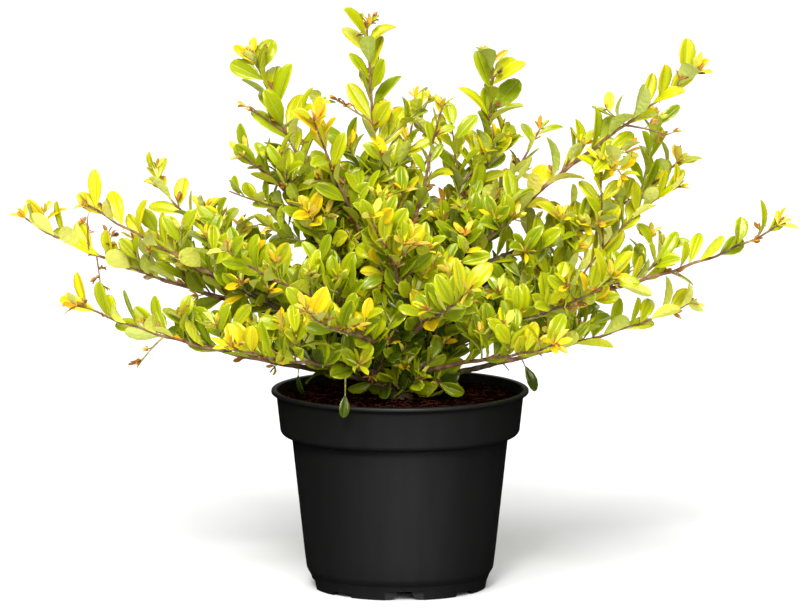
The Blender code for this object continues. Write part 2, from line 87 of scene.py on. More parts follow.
# Finishes: how strongly they mirror, how rough they are (two values where noise ranges between them),
# that noise (scale, detail, upright stretch), their fine relief (scale, detail, depth, strength), and
# the tint of their shine
Finish = namedtuple("Finish", "mirror rough sheen relief tint", defaults=(None, None, (1.0, 1.0, 1.0)))
FLOOR_FINISH = Finish(0.0, (0.9,))
PLASTIC_FINISH = Finish(0.44, (0.52, 0.6), (90.0, 4.0, 0.08), (1400.0, 2.0, 0.00006, 0.5))
SOIL_FINISH = Finish(0.0, (0.95,), None, (1600.0, 3.0, 0.0004, 0.8))
FIBRE_FINISH = Finish(0.0, (0.75, 0.95), (300.0, 3.0, 1.0))
BARK_FINISH = Finish(0.35, (0.75,), None, (900.0, 3.0, 0.00025, 0.6))
SHINE_TINT = (1.0, 0.98, 0.6)
LEAF_TOP = Finish(0.6, (0.16, 0.3), (260.0, 2.0, 1.0), (520.0, 2.0, 0.00026, 0.5), SHINE_TINT)
LEAF_BACK = Finish(0.16, (0.5, 0.7), (260.0, 2.0, 1.0), (300.0, 4.0, 0.0013, 0.9), SHINE_TINT)
SHEEN_SPAN = {"From Min": 0.3, "From Max": 0.7}

# Pot
GAP = 0.0003
POT_SEGMENTS = 192
POT_HEIGHT = 0.1475
RIM_RADIUS = 0.095
BODY_TOP_RADIUS = 0.08
BODY_FOOT_RADIUS = 0.0692
BODY_STEPS = 8
BASE_RADIUS = 0.064
WALL = 0.0012
RECESS_UNDER_FLOOR = 0.0074
FOOT_RING_WIDTH = 0.0046
FLOOR_TOP = 0.009
LEDGE_LEVEL = 0.0108
CHAMFER_TOP = 0.0145
BAND_FOOT = 0.1136
BAND_RADIUS_LOW = 0.0884
BAND_RADIUS_HIGH = 0.0916
BAND_CORNER = 0.0046
LIP_HEIGHT = 0.0031
LIP_ROUND = 0.0013
LIP_FOOT_ROUND = 0.0011
FOOT_ROUND = 0.0005
NOTCH_COUNT = 8
NOTCH_FIRST_BEARING = -87.0
WIDE_NOTCH = (0.029, 0.0069)
SMALL_NOTCH = (0.018, 0.003)
NOTCH_ROUND = 0.0009
NOTCH_REACH = 0.012
THROAT_TOP_WIDTH = 0.0108
THROAT_FOOT_WIDTH = 0.023
THROAT_HEIGHT = 0.0066
THROAT_STEPS = 7
POCKET_DEPTH = 0.0026
UNDERGROUND = -0.002
POT_CRISP = 32.0
PLASTIC_BLACK = (0.004, 0.0039, 0.0039)

# Soil. The lumps of its top are noise at each scale, with that much of it. Crumbs and fibres draw their
# sizes, stretch, skew, rise and bend from the ranges told here.
SOIL_TOP = 0.1413
SOIL_SINK = 0.0006
SOIL_SEGMENTS = 120
SOIL_RINGS = 44
SOIL_RELIEF = 0.0017
SOIL_LUMPS = ((60.0, 1.0), (170.0, 0.7), (420.0, 0.55), (900.0, 0.35))
CALM_RADIUS = 0.009
CALM_FADE = 0.012
CALM_RELIEF = 0.25
SOIL_CRISP = 60.0
SOIL_PATCHES = (420.0, 6.0)
SOIL_COLOURS = [
    (0.35, (0.0015, 0.0005, 0.0004)),
    (0.55, (0.008, 0.0022, 0.0014)),
    (0.72, (0.05, 0.014, 0.008)),
]
SOIL_SEED = 17
CRUMB_COUNT = 1500
CRUMB_SIZE = 0.0011
CRUMB_SIZE_RANGE = (0.45, 1.6)
CRUMB_STRETCH = (0.55, 1.25)
CRUMB_SKEW = (-0.35, 0.35)
FIBRE_COUNT = 420
FIBRE_LENGTH = 0.008
FIBRE_LENGTH_RANGE = (0.4, 1.3)
FIBRE_RADIUS = 0.00016
FIBRE_RADIUS_RANGE = (0.6, 1.5)
FIBRE_RISES = (-6.0, 14.0)
FIBRE_BENDS = (-0.16, 0.16)
FIBRE_LIFT = 0.0005
FIBRE_ARCH = 0.0008
FIBRE_RINGS = 5
FIBRE_RUST = (0.07, 0.02, 0.012)
WALL_CLEARANCE = 0.004
BARE_SHARE = 0.012

# Trunk
TRUNK_HEIGHT = 0.046
TRUNK_FOOT_RADIUS = 0.0088
TRUNK_WAIST_RADIUS = 0.0066
TRUNK_FORK_RADIUS = 0.0056
TRUNK_FLARE_HEIGHT = 0.01
TRUNK_LEAN = 0.002
TRUNK_LEAN_BACK = 0.0006
TRUNK_SINK = 0.0008
TRUNK_SIDES = 28
TRUNK_RING_STEP = 0.0014
TRUNK_SEED = 3.0

# Limbs: where each leaves its parent (share of the parent's length), the place of its tip (bearing,
# reach from the pot's middle, height above the ground), how steeply it starts and ends (degrees above
# level), the share of it that is bare, its radius where it starts, and its parent unless it is the trunk.
Limb = namedtuple("Limb", "name share bearing reach height rise tip_rise bare radius parent",
                  defaults=("trunk",))
LIMBS = [Limb(*row) for row in (
    ("left_long", 0.42, 172, 0.280, 0.268, 31, 31, 0.38, 0.0030),
    ("left_front", 0.20, 195, 0.235, 0.292, 30, 33, 0.38, 0.0024, "left_long"),
    ("left_back", 0.32, 158, 0.192, 0.288, 44, 42, 0.30, 0.0021, "left_long"),
    ("left_low", 0.18, 190, 0.240, 0.216, 12, 24, 0.38, 0.0026),
    ("upper_left", 0.64, 160, 0.112, 0.384, 62, 66, 0.36, 0.0028),
    ("left_middle", 0.26, 188, 0.116, 0.322, 44, 32, 0.26, 0.0021, "upper_left"),
    ("centre_left", 0.16, 222, 0.084, 0.352, 74, 54, 0.30, 0.0022, "upper_left"),
    ("top_centre", 0.97, 150, 0.028, 0.412, 80, 84, 0.34, 0.0030),
    ("centre_right", 0.16, 330, 0.036, 0.358, 66, 72, 0.30, 0.0022, "top_centre"),
    ("upper_right", 0.80, 28, 0.076, 0.386, 56, 94, 0.32, 0.0026),
    ("right_upper", 0.24, 38, 0.132, 0.330, 40, 52, 0.30, 0.0021, "upper_right"),
    ("right_high", 0.54, 353, 0.218, 0.385, 63, 37, 0.38, 0.0032),
    ("right_middle", 0.24, 10, 0.208, 0.312, 24, 46, 0.34, 0.0024, "right_high"),
    ("right_long", 0.34, 0, 0.278, 0.268, 34, 29, 0.36, 0.0030),
    ("right_low", 0.16, 9, 0.216, 0.206, 14, 24, 0.32, 0.0026),
    ("front_right", 0.24, 324, 0.190, 0.246, 22, 34, 0.28, 0.0021, "right_long"),
    ("front_right_low", 0.20, 312, 0.166, 0.198, 26, 18, 0.25, 0.0024),
    ("front_middle", 0.52, 284, 0.200, 0.248, 46, 28, 0.24, 0.0027),
    ("front_upper", 0.22, 262, 0.150, 0.296, 60, 44, 0.26, 0.0021, "front_middle"),
    ("front_left", 0.34, 250, 0.196, 0.232, 38, 24, 0.24, 0.0026),
    ("front_left_low", 0.27, 230, 0.188, 0.200, 20, 20, 0.25, 0.0024),
    ("front_left_high", 0.20, 224, 0.172, 0.266, 52, 38, 0.26, 0.0020, "front_left"),
    ("back_left_low", 0.20, 140, 0.212, 0.228, 24, 26, 0.28, 0.0026),
    ("back_left", 0.44, 114, 0.194, 0.292, 54, 34, 0.28, 0.0028),
    ("back_middle", 0.30, 88, 0.198, 0.240, 32, 26, 0.27, 0.0026),
    ("back_right", 0.46, 62, 0.194, 0.284, 50, 34, 0.28, 0.0028),
    ("back_right_low", 0.22, 42, 0.206, 0.230, 26, 26, 0.28, 0.0026),
    ("back_high", 0.20, 84, 0.108, 0.350, 66, 58, 0.28, 0.0022, "back_left"),
)]
LIMB_TIP_RADIUS = 0.0007
LIMB_TAPER = 1.3
LIMB_HANDLE = 0.36
LIMB_SWAY = 0.003
LIMB_WAVES = (1.4, 2.4)
LIMB_KINK = 0.0006
LIMB_SIDES = 12
STEM_SIDES = 8
LIMB_RING_STEP = 0.0026
PATH_STEPS = 40
DIRECTION_STEP = 0.01

# Bark. Its relief is a coarse noise and less of a fine one. It swells at joints and where a limb starts.
BARK_RELIEF = 0.07
RIDGES_ROUND = 1.3
RIDGES_ALONG = 130.0
COARSE_RIDGES = 1.9
FINE_RIDGES = Vector((4.5, 4.5, 1.6))
FINE_SHARE = 0.6
NODE_SWELL = 0.16
NODE_STEP = 0.0095
NODE_SHARPNESS = 12
KINK_NODES = 1.7
COLLAR_SWELL = 0.45
COLLAR_LENGTH = 0.007
BARK_CRISP = 80.0
BARK_PATCHES = (160.0, 4.0)
BARK_STOPS = (0.32, 0.5, 0.7)
BARK_COLOURS = {
    # The old bark is darker for its age, and darker still as painted shade of the crown's inside.
    "old_bark": ((0.035, 0.022, 0.008), (0.085, 0.057, 0.020), (0.170, 0.118, 0.048)),
    "red_bark": ((0.095, 0.042, 0.020), (0.205, 0.100, 0.048), (0.330, 0.190, 0.095)),
    "red_twig": ((0.120, 0.050, 0.022), (0.230, 0.110, 0.050), (0.340, 0.195, 0.090)),
    "green_twig": ((0.190, 0.160, 0.045), (0.310, 0.280, 0.070), (0.430, 0.420, 0.110)),
}

# Shoots that the photo shows plainly: how each is dressed (leafy, slender with smaller leaves, young with
# only side buds, hanging, or a single large leaf), where it leaves its limb, where it points (bearing and
# rise), its length, and how far it bends up, or down where this is below zero, as a share of its length.
Shoot = namedtuple("Shoot", "dress limb share bearing rise length bend", defaults=(0.1,))
SHOOTS = [Shoot(*row) for row in (
    ("young", "left_low", 0.73, -167, -37, 0.024, -0.25),
    ("single", "left_low", 0.74, 184, 6, 0.027, 0.0),
    ("hanging", "left_low", 0.30, -100, -40, 0.006, -0.20),
    ("young", "left_long", 0.81, -56, -72, 0.017, -0.25),
    ("young", "left_long", 0.83, 113, 83, 0.024),
    ("young", "left_long", 0.77, -114, 77, 0.017),
    ("young", "upper_left", 0.78, 173, 31, 0.031),
    ("slender", "upper_left", 0.80, -14, 30, 0.030),
    ("slender", "upper_left", 0.58, -161, 23, 0.045),
    ("slender", "upper_left", 0.47, -160, 12, 0.080),
    ("leafy", "upper_left", 0.34, -164, 15, 0.060),
    ("young", "top_centre", 0.71, -167, 27, 0.028),
    ("slender", "top_centre", 0.62, 8, 36, 0.048, 0.12),
    ("leafy", "top_centre", 0.46, 10, 54, 0.034),
    ("leafy", "top_centre", 0.40, 175, 60, 0.050),
    ("leafy", "upper_right", 0.60, -10, 48, 0.034),
    ("leafy", "upper_right", 0.47, -120, 76, 0.067),
    ("young", "right_high", 0.80, -17, -5, 0.032, -0.10),
    ("leafy", "right_high", 0.72, -26, -44, 0.026, -0.10),
    ("slender", "right_high", 0.60, -11, 55, 0.026),
    ("slender", "right_high", 0.80, 172, 35, 0.016),
    ("leafy", "right_long", 0.44, -4, 58, 0.158, -0.30),
    ("leafy", "right_long", 0.36, 27, 62, 0.048),
    ("leafy", "right_long", 0.64, 15, 48, 0.028),
    ("leafy", "right_middle", 0.35, -12, 14, 0.048),
    ("leafy", "right_low", 0.46, -7, 25, 0.046),
    ("hanging", "right_low", 0.34, -40, -30, 0.008, -0.20),
    ("hanging", "right_low", 0.41, -60, -40, 0.010, -0.20),
    ("hanging", "front_left_low", 0.34, -90, -6, 0.046, -0.20),
    ("slender", "upper_left", 0.96, 165, 55, 0.018),
    ("young", "upper_left", 0.99, 100, 80, 0.006),
    ("young", "top_centre", 0.99, 80, 80, 0.006),
    ("slender", "left_back", 0.97, 140, 60, 0.016),
    ("slender", "left_long", 0.95, 100, 75, 0.012),
)]
YOUNG_BUDS_AT = (0.45, 0.75, 0.98)
HANGING_LEAVES_AT = (0.6, 0.97)
HANGING_LEAF_SIZE = 0.8
SHOOT_SEED = 300
LIMB_SEED = 200
BASAL_SEED = 41

# Shoots from the trunk's foot, all round it
Tier = namedtuple("Tier", "count first last rises length lifts")
BASAL_TIERS = [
    Tier(24, 0.08, 0.92, (12.0, 48.0), 0.058, (0.35, 1.5)),
    Tier(12, 0.06, 0.16, (0.0, 10.0), 0.034, (-0.2, 0.9)),
]

# Leaves. A pair in brackets is the range that each leaf draws from.
LEAF_LENGTH = 0.024
LEAF_WIDTH = 0.0127
LENGTH_RANGE = (0.8, 1.2)
WIDTH_RANGE = (0.82, 1.15)
LEAF_THICKNESS = 0.00032
LEAF_TURN = radians(137.5)
LEAF_SPREADS = (38.0, 64.0)
LEAF_TWIST = 55.0
LEAF_FOLDS = (6.0, 32.0)
LEAF_CURLS = (-0.45, 0.2)
LEAF_LIFTS = (0.35, 1.5)
HANGING_LIFTS = (-2.6, -1.2)
LEAF_WIDEST = 0.6
LEAF_FOOT_POWER = 1.15
LEAST_HALF_WIDTH = 0.07
LEAF_MIDDLE = 0.55
LEAF_ARCH = 0.6
LEAF_PUFF = 0.24
LEAF_CRISP = 75.0
RIB_WIDTH = 0.06
LEAF_SUNWARD = (0.3, 2.0)
LIGHT_SIDE = Vector((0.0, -0.45, 0.0))
UPRIGHT_EASE = 0.75
UPRIGHT_TURN = 2.2
UPRIGHT_CALM = 0.4
LEAF_SPACING = 0.0054
LIMB_CLEARANCE = 0.0024
LIMB_SAMPLE_STEP = 0.004
SMALL_TWIST = 80.0
SMALL_FOLDS = (10.0, 45.0)
SMALL_CURLS = (-0.3, 0.1)

# Where leaves and twigs stand on the limbs (steps in metres, places as shares of a limb), and how large
# they are. A taper is the size at a stem's foot and how much less it is at its tip.
STEM_LEAF_STEP = 0.0078
TALL_LEAF_STEP = 0.006
TWIG_LEAF_STEP = 0.0064
LEAFY_FROM = 0.07
LEAFY_TO = 0.985
BARE_FEET = {"right_low": 0.38, "front_right_low": 0.4}
TWIGGY_FROM = 0.1
TWIGGY_TO = {"left": 0.74, "right": 0.6, "front": 0.74, "back": 0.76, "top": 0.5}
SPARSE_TO = 0.4
SPARSE_LIMBS = ("upper_left", "top_centre", "upper_right", "right_upper", "right_high", "centre_right",
                "right_middle", "back_high")
TALL_LIMBS = ("upper_left", "top_centre", "upper_right")
TALL_TONES = ("green", "fresh", "fresh", "lime")
LEAF_SIZES = {"back_high": 0.62, "right_upper": 0.74, "centre_right": 0.7, "right_high": 1.16,
              "upper_left": 1.24, "top_centre": 1.24, "upper_right": 1.24}
SLENDER_LEAF_SIZE = 0.78
SAME_TONE_LEAVES = 4
ODD_TONE_CHANCE = 0.35
BUD_CHANCE = 0.34
LIMB_TUFT_SIZE = 1.15
LIMB_LEAF_TAPER = (1.14, 0.12)
TWIG_LEAF_TAPER = (1.08, 0.22)
TWIG_LENGTH_TAPER = (1.15, 0.95)

# Twigs
TWIG_STEP = 0.016
TWIG_LENGTH = 0.04
TWIG_LENGTH_RANGE = (0.55, 1.15)
BASAL_LENGTH_RANGE = (0.7, 1.2)
TWIG_RADIUS = 0.0009
TWIG_TAPER = 0.45
THINNEST_TWIG = 0.55
THICK_TWIG_LENGTH = 0.06
TWIG_BEND = 0.22
TWIG_LEANS = (-18.0, 66.0)
TWIG_SPREADS = (40.0, 62.0)
TWIG_LEAFY = (0.22, 0.98)
TWIG_RING_STEP = 0.005
TWIG_SIDES = 5
TWIG_KINDS = {"red": 0.5, "green": 0.5}
TWIG_CLEARANCE = 0.005
FORKED_TWIG_LENGTH = 0.024
FORKS_AT = (0.35, 0.65)
FORK_SIZE = 0.5
TUFT_CHANCES = (0.15, 0.6)

# The crown's heart and half its size, which say how sunlit a place in it is. Leaf tones follow it,
# so the darker tones in the heart and low down are partly painted shade.
HEART = Vector((0.0, 0.0, 0.205))
CROWN_HALF = Vector((0.24, 0.185, 0.165))
LOW_SHADE = 0.25
LOW_SHADE_DEPTH = 0.06
MOST_SUNLIT = 1.1

# Room that leaves and twigs leave round the pot, over the soil and over the ground, and the radius
# inside which they meet the soil before the wall
POT_CLEARANCE = 0.002
SOIL_CLEARANCE = 0.004
GROUND_CLEARANCE = 0.02
WALL_INSIDE = 0.082

# Leaf colours. Each tone: its upper side, its underside, and how sunlit (0 inside the crown, 1 at its
# edge) the places are where it is most common, how widely it spreads from there, and how much there is.
# The yellower tones at the sunlit edge are the leaves' own colour; the dark tones inside the crown and
# low down are partly their own greener colour and partly painted shade.
# The undersides are paler, as the real leaves' are, and lighter still as painted light that stands in for
# light shining through the leaf.
Tone = namedtuple("Tone", "name upper under sunlit spread amount")
TONES = [
    Tone("deep", (0.044, 0.070, 0.002), (0.160, 0.185, 0.008), 0.04, 0.24, 0.95),
    Tone("green", (0.245, 0.305, 0.003), (0.450, 0.485, 0.025), 0.38, 0.40, 1.0),
    Tone("fresh", (0.385, 0.425, 0.003), (0.550, 0.590, 0.085), 0.72, 0.36, 1.2),
    Tone("lime", (0.490, 0.500, 0.008), (0.600, 0.630, 0.125), 0.98, 0.32, 0.95),
    Tone("yellow", (0.700, 0.500, 0.006), (0.640, 0.590, 0.105), 1.10, 0.38, 0.42),
]
TIP_COLOURS = {
    "gold": ((0.800, 0.500, 0.006), (0.740, 0.560, 0.060)),
    "amber": ((0.780, 0.360, 0.014), (0.640, 0.370, 0.060)),
    "yellow_tip": ((0.740, 0.620, 0.010), (0.720, 0.680, 0.090)),
    "red_young": ((0.340, 0.130, 0.022), (0.430, 0.200, 0.060)),
    "brown_young": ((0.185, 0.078, 0.014), (0.280, 0.135, 0.034)),
}
TINTS = 3
TINT_SPREAD = 0.18
PALE_GREEN = (0.62, 0.7, 0.26)
RIB_PALENESS = 0.13
BACK_RIB_PALENESS = 0.24
DARK_GREEN = 0.3

# Small leaves: how many stand together, how far they tilt out, their lengths, their widths as shares of
# that, and how common each look is. Then buds, and single leaves with their fold and curl.
Young = namedtuple("Young", "counts tilts lengths widths looks")
TUFT_RING = Young((4, 6), (35.0, 66.0), (0.009, 0.0155), (0.3, 0.46),
                  {"gold": 0.4, "amber": 0.12, "yellow_tip": 0.34, "lime_1": 0.14})
TUFT_HEART = Young((3, 5), (12.0, 52.0), (0.0042, 0.0078), (0.34, 0.48),
                   {"red_young": 0.48, "brown_young": 0.3, "amber": 0.22})
BUD = Young((4, 6), (15.0, 65.0), (0.0046, 0.0084), (0.46,),
            {"red_young": 0.42, "brown_young": 0.32, "amber": 0.16, "lime_0": 0.1})
RING_LIFTS = (0.0, 0.35)
HEART_TURN = 2.4
STALK_TILTS = (35.0, 62.0)
STALK_LENGTHS = (0.002, 0.006)
BUD_LEAF_RISE = 20.0
SINGLE_LEAF_WIDTH = 0.48
SINGLE_LEAF_BEND = (0.2, 0.1)
SINGLE_LEAF_FACE = Vector((0.0, 1.0, 0.4))


# Small helpers
def heading(bearing, rise):
    """The direction with this bearing round the pot and this rise above level, in degrees."""
    flat = cos(radians(rise))
    around = radians(bearing)
    return Vector((flat * cos(around), flat * sin(around), sin(radians(rise))))


def across(direction):
    """A level direction at right angles to this one."""
    side = direction.cross(UP)
    if side.length < 1e-6:
        return Vector((1.0, 0.0, 0.0))
    return side.normalized()


def beside(direction, turn):
    """A direction at right angles to this one, at a turn round it in radians."""
    side = across(direction)
    return side * cos(turn) + side.cross(direction) * sin(turn)


def tilted(direction, side, angle):
    """The direction turned this many degrees towards a side at right angles to it."""
    turn = radians(angle)
    return (direction * cos(turn) + side * sin(turn)).normalized()


def square_to(direction, axis):
    """The direction made square to an axis."""
    rest = direction - axis * direction.dot(axis)
    if rest.length < 1e-6:
        return across(axis)
    return rest.normalized()


def spaced(first, last, count):
    """The middles of equal steps from the first share to the last."""
    return [first + (last - first) * (number + 0.5) / count for number in range(count)]


def tapered(taper, share):
    """The size at a share of a stem."""
    return taper[0] - taper[1] * share


def gather(shape, more):
    """Adds the points and faces of a small shape to those of a larger one."""
    points, faces = shape
    first = len(points)
    points.extend(more[0])
    faces.extend(tuple(corner + first for corner in face) for face in more[1])


def link_new(name, data):
    """A new object in the scene, with this mesh, camera or light."""
    made = bpy.data.objects.new(name, data)
    bpy.context.scene.collection.objects.link(made)
    return made


def add_mesh(name, shape, materials=(), indices=None):
    """A mesh object from a shape's points and faces, with the number of each face's material."""
    mesh = bpy.data.meshes.new(name)
    mesh.from_pydata(shape[0], [], shape[1])
    for material in materials:
        mesh.materials.append(material)
    if indices is not None:
        mesh.polygons.foreach_set("material_index", indices)
    mesh.update()
    return link_new(name, mesh)


def finish_piece(made, replaced=(), crisp=None):
    """Puts a piece in the frame, for the CAD nodes that it replaces. Smooths edges up to the crisp angle."""
    if crisp is not None:
        mesh = made.data
        mesh.polygons.foreach_set("use_smooth", [True] * len(mesh.polygons))
        mesh.set_sharp_from_angle(angle=radians(crisp))
        mesh.update()
    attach(made, "root")
    if replaced:
        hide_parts(*replaced)


# Materials
def new_node(tree, kind, values):
    """A new shader node with these values on its sockets."""
    node = tree.nodes.new(kind)
    for name, value in values.items():
        node.inputs[name].default_value = value
    return node


def add_noise(tree, scale, detail, upright=1.0):
    """A noise pattern in the object's own metres, drawn out upright where that is below 1."""
    place = new_node(tree, "ShaderNodeTexCoord", {})
    mapping = new_node(tree, "ShaderNodeMapping", {"Scale": (1.0, 1.0, upright)})
    pattern = new_node(tree, "ShaderNodeTexNoise", {"Scale": scale, "Detail": detail})
    tree.links.new(place.outputs["Object"], mapping.inputs["Vector"])
    tree.links.new(mapping.outputs["Vector"], pattern.inputs["Vector"])
    return pattern.outputs["Fac"]


def drive(tree, socket, pattern, kind, values, taken, given):
    """Feeds one of the shader's sockets from a pattern, by way of a new node."""
    node = new_node(tree, kind, values)
    tree.links.new(pattern, node.inputs[taken])
    tree.links.new(node.outputs[given], tree.nodes["Principled BSDF"].inputs[socket])
    return node


def drive_colour(tree, pattern, stops):
    """Colours along a pattern's values, from (value, colour) stops."""
    ramp = drive(tree, "Base Color", pattern, "ShaderNodeValToRGB", {}, "Fac", "Color")
    elements = ramp.color_ramp.elements
    while len(elements) < len(stops):
        elements.new(0.5)
    for element, (value, colour) in zip(elements, stops):
        element.position = value
        element.color = (*colour, 1.0)


def new_material(name, colour, finish):
    """A material with a plain colour and this finish."""
    material = bpy.data.materials.new(name)
    material.use_nodes = True
    tree = material.node_tree
    sockets = tree.nodes["Principled BSDF"].inputs
    sockets["Base Color"].default_value = (*colour, 1.0)
    sockets["Roughness"].default_value = finish.rough[0]
    sockets["Specular IOR Level"].default_value = finish.mirror
    sockets["Specular Tint"].default_value = (*finish.tint, 1.0)
    if finish.sheen:
        pattern = add_noise(tree, *finish.sheen)
        span = {**SHEEN_SPAN, "To Min": finish.rough[0], "To Max": finish.rough[1]}
        drive(tree, "Roughness", pattern, "ShaderNodeMapRange", span, "Value", "Result")
    if finish.relief:
        scale, detail, depth, strength = finish.relief
        pattern = add_noise(tree, scale, detail)
        bump = {"Distance": depth, "Strength": strength}
        drive(tree, "Normal", pattern, "ShaderNodeBump", bump, "Height", "Normal")
    return material


def patchy_material(name, stops, patches, finish):
    """A material whose colour varies in patches between stops."""
    material = new_material(name, stops[1][1], finish)
    drive_colour(material.node_tree, add_noise(material.node_tree, *patches), stops)
    return material


def bark_material(name):
    return patchy_material(name, list(zip(BARK_STOPS, BARK_COLOURS[name])), BARK_PATCHES, BARK_FINISH)


# Camera, floor and light
def look_from(made, direction):
    """Turns a camera or light so that it looks back along the direction it stands in."""
    made.rotation_euler = (-direction).to_track_quat("-Z", "Y").to_euler()


def make_camera():
    data = bpy.data.cameras.new("camera")
    data.sensor_width = SENSOR_WIDTH
    data.lens = SENSOR_WIDTH * CAMERA_DISTANCE / (PHOTO_WIDTH * PHOTO_PIXEL)
    data.clip_end = CAMERA_SIGHT
    camera = link_new("camera", data)
    back = heading(-90.0, CAMERA_RISE)
    camera.location = UP * CAMERA_AIM + back * CAMERA_DISTANCE
    look_from(camera, back)
    bpy.context.scene.camera = camera


def add_sun(sun):
    data = bpy.data.lights.new(sun.name, "SUN")
    data.energy = sun.strength
    data.angle = radians(sun.width)
    look_from(link_new(sun.name, data), heading(sun.bearing, sun.rise))


def make_sky():
    """Even white light from all round. The camera sees it white, and shiny things mirror it faintly."""
    world = bpy.data.worlds.new("studio")
    bpy.context.scene.world = world
    world.use_nodes = True
    tree = world.node_tree
    ray = new_node(tree, "ShaderNodeLightPath", {})
    mirrored = new_node(tree, "ShaderNodeMapRange", {"To Min": SKY_LIGHT, "To Max": SKY_MIRRORED})
    strength = new_node(tree, "ShaderNodeMapRange", {"To Max": SKY_SHOWN})
    tree.links.new(ray.outputs["Is Glossy Ray"], mirrored.inputs["Value"])
    tree.links.new(mirrored.outputs["Result"], strength.inputs["To Min"])
    tree.links.new(ray.outputs["Is Camera Ray"], strength.inputs["Value"])
    backdrop = tree.nodes["Background"]
    backdrop.inputs["Color"].default_value = (1.0, 1.0, 1.0, 1.0)
    tree.links.new(strength.outputs["Result"], backdrop.inputs["Strength"])


def make_studio():
    bpy.context.scene.view_settings.view_transform = "Standard"
    make_camera()
    make_sky()
    for sun in SUNS:
        add_sun(sun)
    half = FLOOR_SIZE / 2.0
    corners = [(-half, -half, 0.0), (half, -half, 0.0), (half, half, 0.0), (-half, half, 0.0)]
    white = new_material("studio_floor", FLOOR_COLOUR, FLOOR_FINISH)
    floor = add_mesh("floor", (corners, [(0, 1, 2, 3)]), [white])
    floor.visible_glossy = False


# Pot
def arc(middle, radius, start, end, steps):
    """Points (radius, level) along an arc between two angles in degrees, ends included."""
    turns = [radians(start + (end - start) * step / steps) for step in range(steps + 1)]
    return [(middle[0] + radius * cos(turn), middle[1] + radius * sin(turn)) for turn in turns]


def near(radius, level, *offsets):
    """Points (radius, level) at small offsets from a corner of the moulding."""
    return [(radius + out, level + high) for out, high in offsets]


def pot_outline():
    """Half-section of the pot, from the middle of its underside round to the middle of its floor."""
    lip_foot = POT_HEIGHT - LIP_HEIGHT
    lip_middle = POT_HEIGHT - LIP_ROUND
    ring_inside = BASE_RADIUS - FOOT_RING_WIDTH
    inner_band = BAND_RADIUS_HIGH - WALL
    outline = [(0.0, RECESS_UNDER_FLOOR), (ring_inside - 0.001, RECESS_UNDER_FLOOR)]
    outline += arc((ring_inside + FOOT_ROUND, FOOT_ROUND), FOOT_ROUND, 180, 270, 3)
    outline += arc((BASE_RADIUS - FOOT_ROUND, FOOT_ROUND), FOOT_ROUND, 270, 360, 4)
    outline += near(BASE_RADIUS, LEDGE_LEVEL, (0.0013, -0.0035), (0.0024, -0.0003), (0.0028, 0.0))
    outline += near(BASE_RADIUS, LEDGE_LEVEL, (0.0031, 0.0006))
    outline += near(BODY_FOOT_RADIUS, CHAMFER_TOP, (-0.0009, -0.0012), (-0.0003, 0.0002), (0.0, 0.0018))
    for step in range(1, BODY_STEPS):
        share = step / BODY_STEPS
        radius = BODY_FOOT_RADIUS + (BODY_TOP_RADIUS - BODY_FOOT_RADIUS) * share
        outline.append((radius, CHAMFER_TOP + (BAND_FOOT - CHAMFER_TOP) * share))
    outline += near(BODY_TOP_RADIUS, BAND_FOOT, (0.0, -0.0006), (0.0006, 0.0))
    outline += arc((BAND_RADIUS_LOW - BAND_CORNER, BAND_FOOT + BAND_CORNER), BAND_CORNER, 276, 356, 8)
    outline += near(BAND_RADIUS_HIGH, lip_foot, (-0.0006, -0.003), (0.0, -0.0006), (0.0006, 0.0))
    outline += arc((RIM_RADIUS - LIP_FOOT_ROUND, lip_foot + LIP_FOOT_ROUND), LIP_FOOT_ROUND, 285, 360, 4)
    outline += arc((RIM_RADIUS - LIP_ROUND, lip_middle), LIP_ROUND, 0, 90, 5)
    outline += arc((inner_band + LIP_ROUND, lip_middle), LIP_ROUND, 90, 180, 5)
    outline += near(inner_band, POT_HEIGHT, (0.0, -0.004))
    outline += near(BAND_RADIUS_LOW - WALL, BAND_FOOT, (0.0, BAND_CORNER + 0.001), (-0.0024, WALL * 2.0))
    outline += near(BODY_TOP_RADIUS - WALL, BAND_FOOT, (0.0, WALL))
    outline += near(BODY_FOOT_RADIUS - WALL * 2.0, FLOOR_TOP, (0.0, 0.003), (-0.003, 0.0))
    return outline + [(0.0, FLOOR_TOP)]


def revolved(outline, segments):
    """A closed solid of revolution from a half-section that starts and ends on the axis."""
    points = [(0.0, 0.0, outline[0][1])]
    turns = [FULL_TURN * step / segments for step in range(segments)]
    for radius, level in outline[1:-1]:
        points += [(radius * cos(turn), radius * sin(turn), level) for turn in turns]
    points.append((0.0, 0.0, outline[-1][1]))
    faces = []
    last = len(points) - 1
    top = last - segments
    for step in range(segments):
        after = (step + 1) % segments
        faces.append((0, 1 + after, 1 + step))
        for low in range(1, top, segments):
            high = low + segments
            faces.append((low + step, low + after, high + after, high + step))
        faces.append((top + step, top + after, last))
    return points, faces


def cut_notch(pot, bearing, outline, from_radius, to_radius):
    """Cuts an outline (across, up) through the foot ring between two radii."""
    outward = heading(bearing, 0.0)
    side = across(outward)
    points = []
    for radius in (from_radius, to_radius):
        points += [outward * radius + side * wide + UP * high for wide, high in outline]
    count = len(outline)
    faces = [tuple(reversed(range(count))), tuple(range(count, 2 * count))]
    for step in range(count):
        after = (step + 1) % count
        faces.append((step, after, count + after, count + step))
    cutter = add_mesh("cutter", (points, faces))
    modifier = pot.modifiers.new("cut", "BOOLEAN")
    modifier.operation = "DIFFERENCE"
    modifier.solver = "EXACT"
    modifier.object = cutter
    graph = bpy.context.evaluated_depsgraph_get()
    pot_cut = bpy.data.meshes.new_from_object(pot.evaluated_get(graph))
    pot.modifiers.clear()
    pot.data = pot_cut
    bpy.data.objects.remove(cutter)


def pocket_outline(width, height):
    """A block with rounded upper corners that opens downwards."""
    half = width / 2.0
    right = arc((half - NOTCH_ROUND, height - NOTCH_ROUND), NOTCH_ROUND, 90, 0, 3) + [(half, UNDERGROUND)]
    return [(-wide, high) for wide, high in reversed(right)] + right


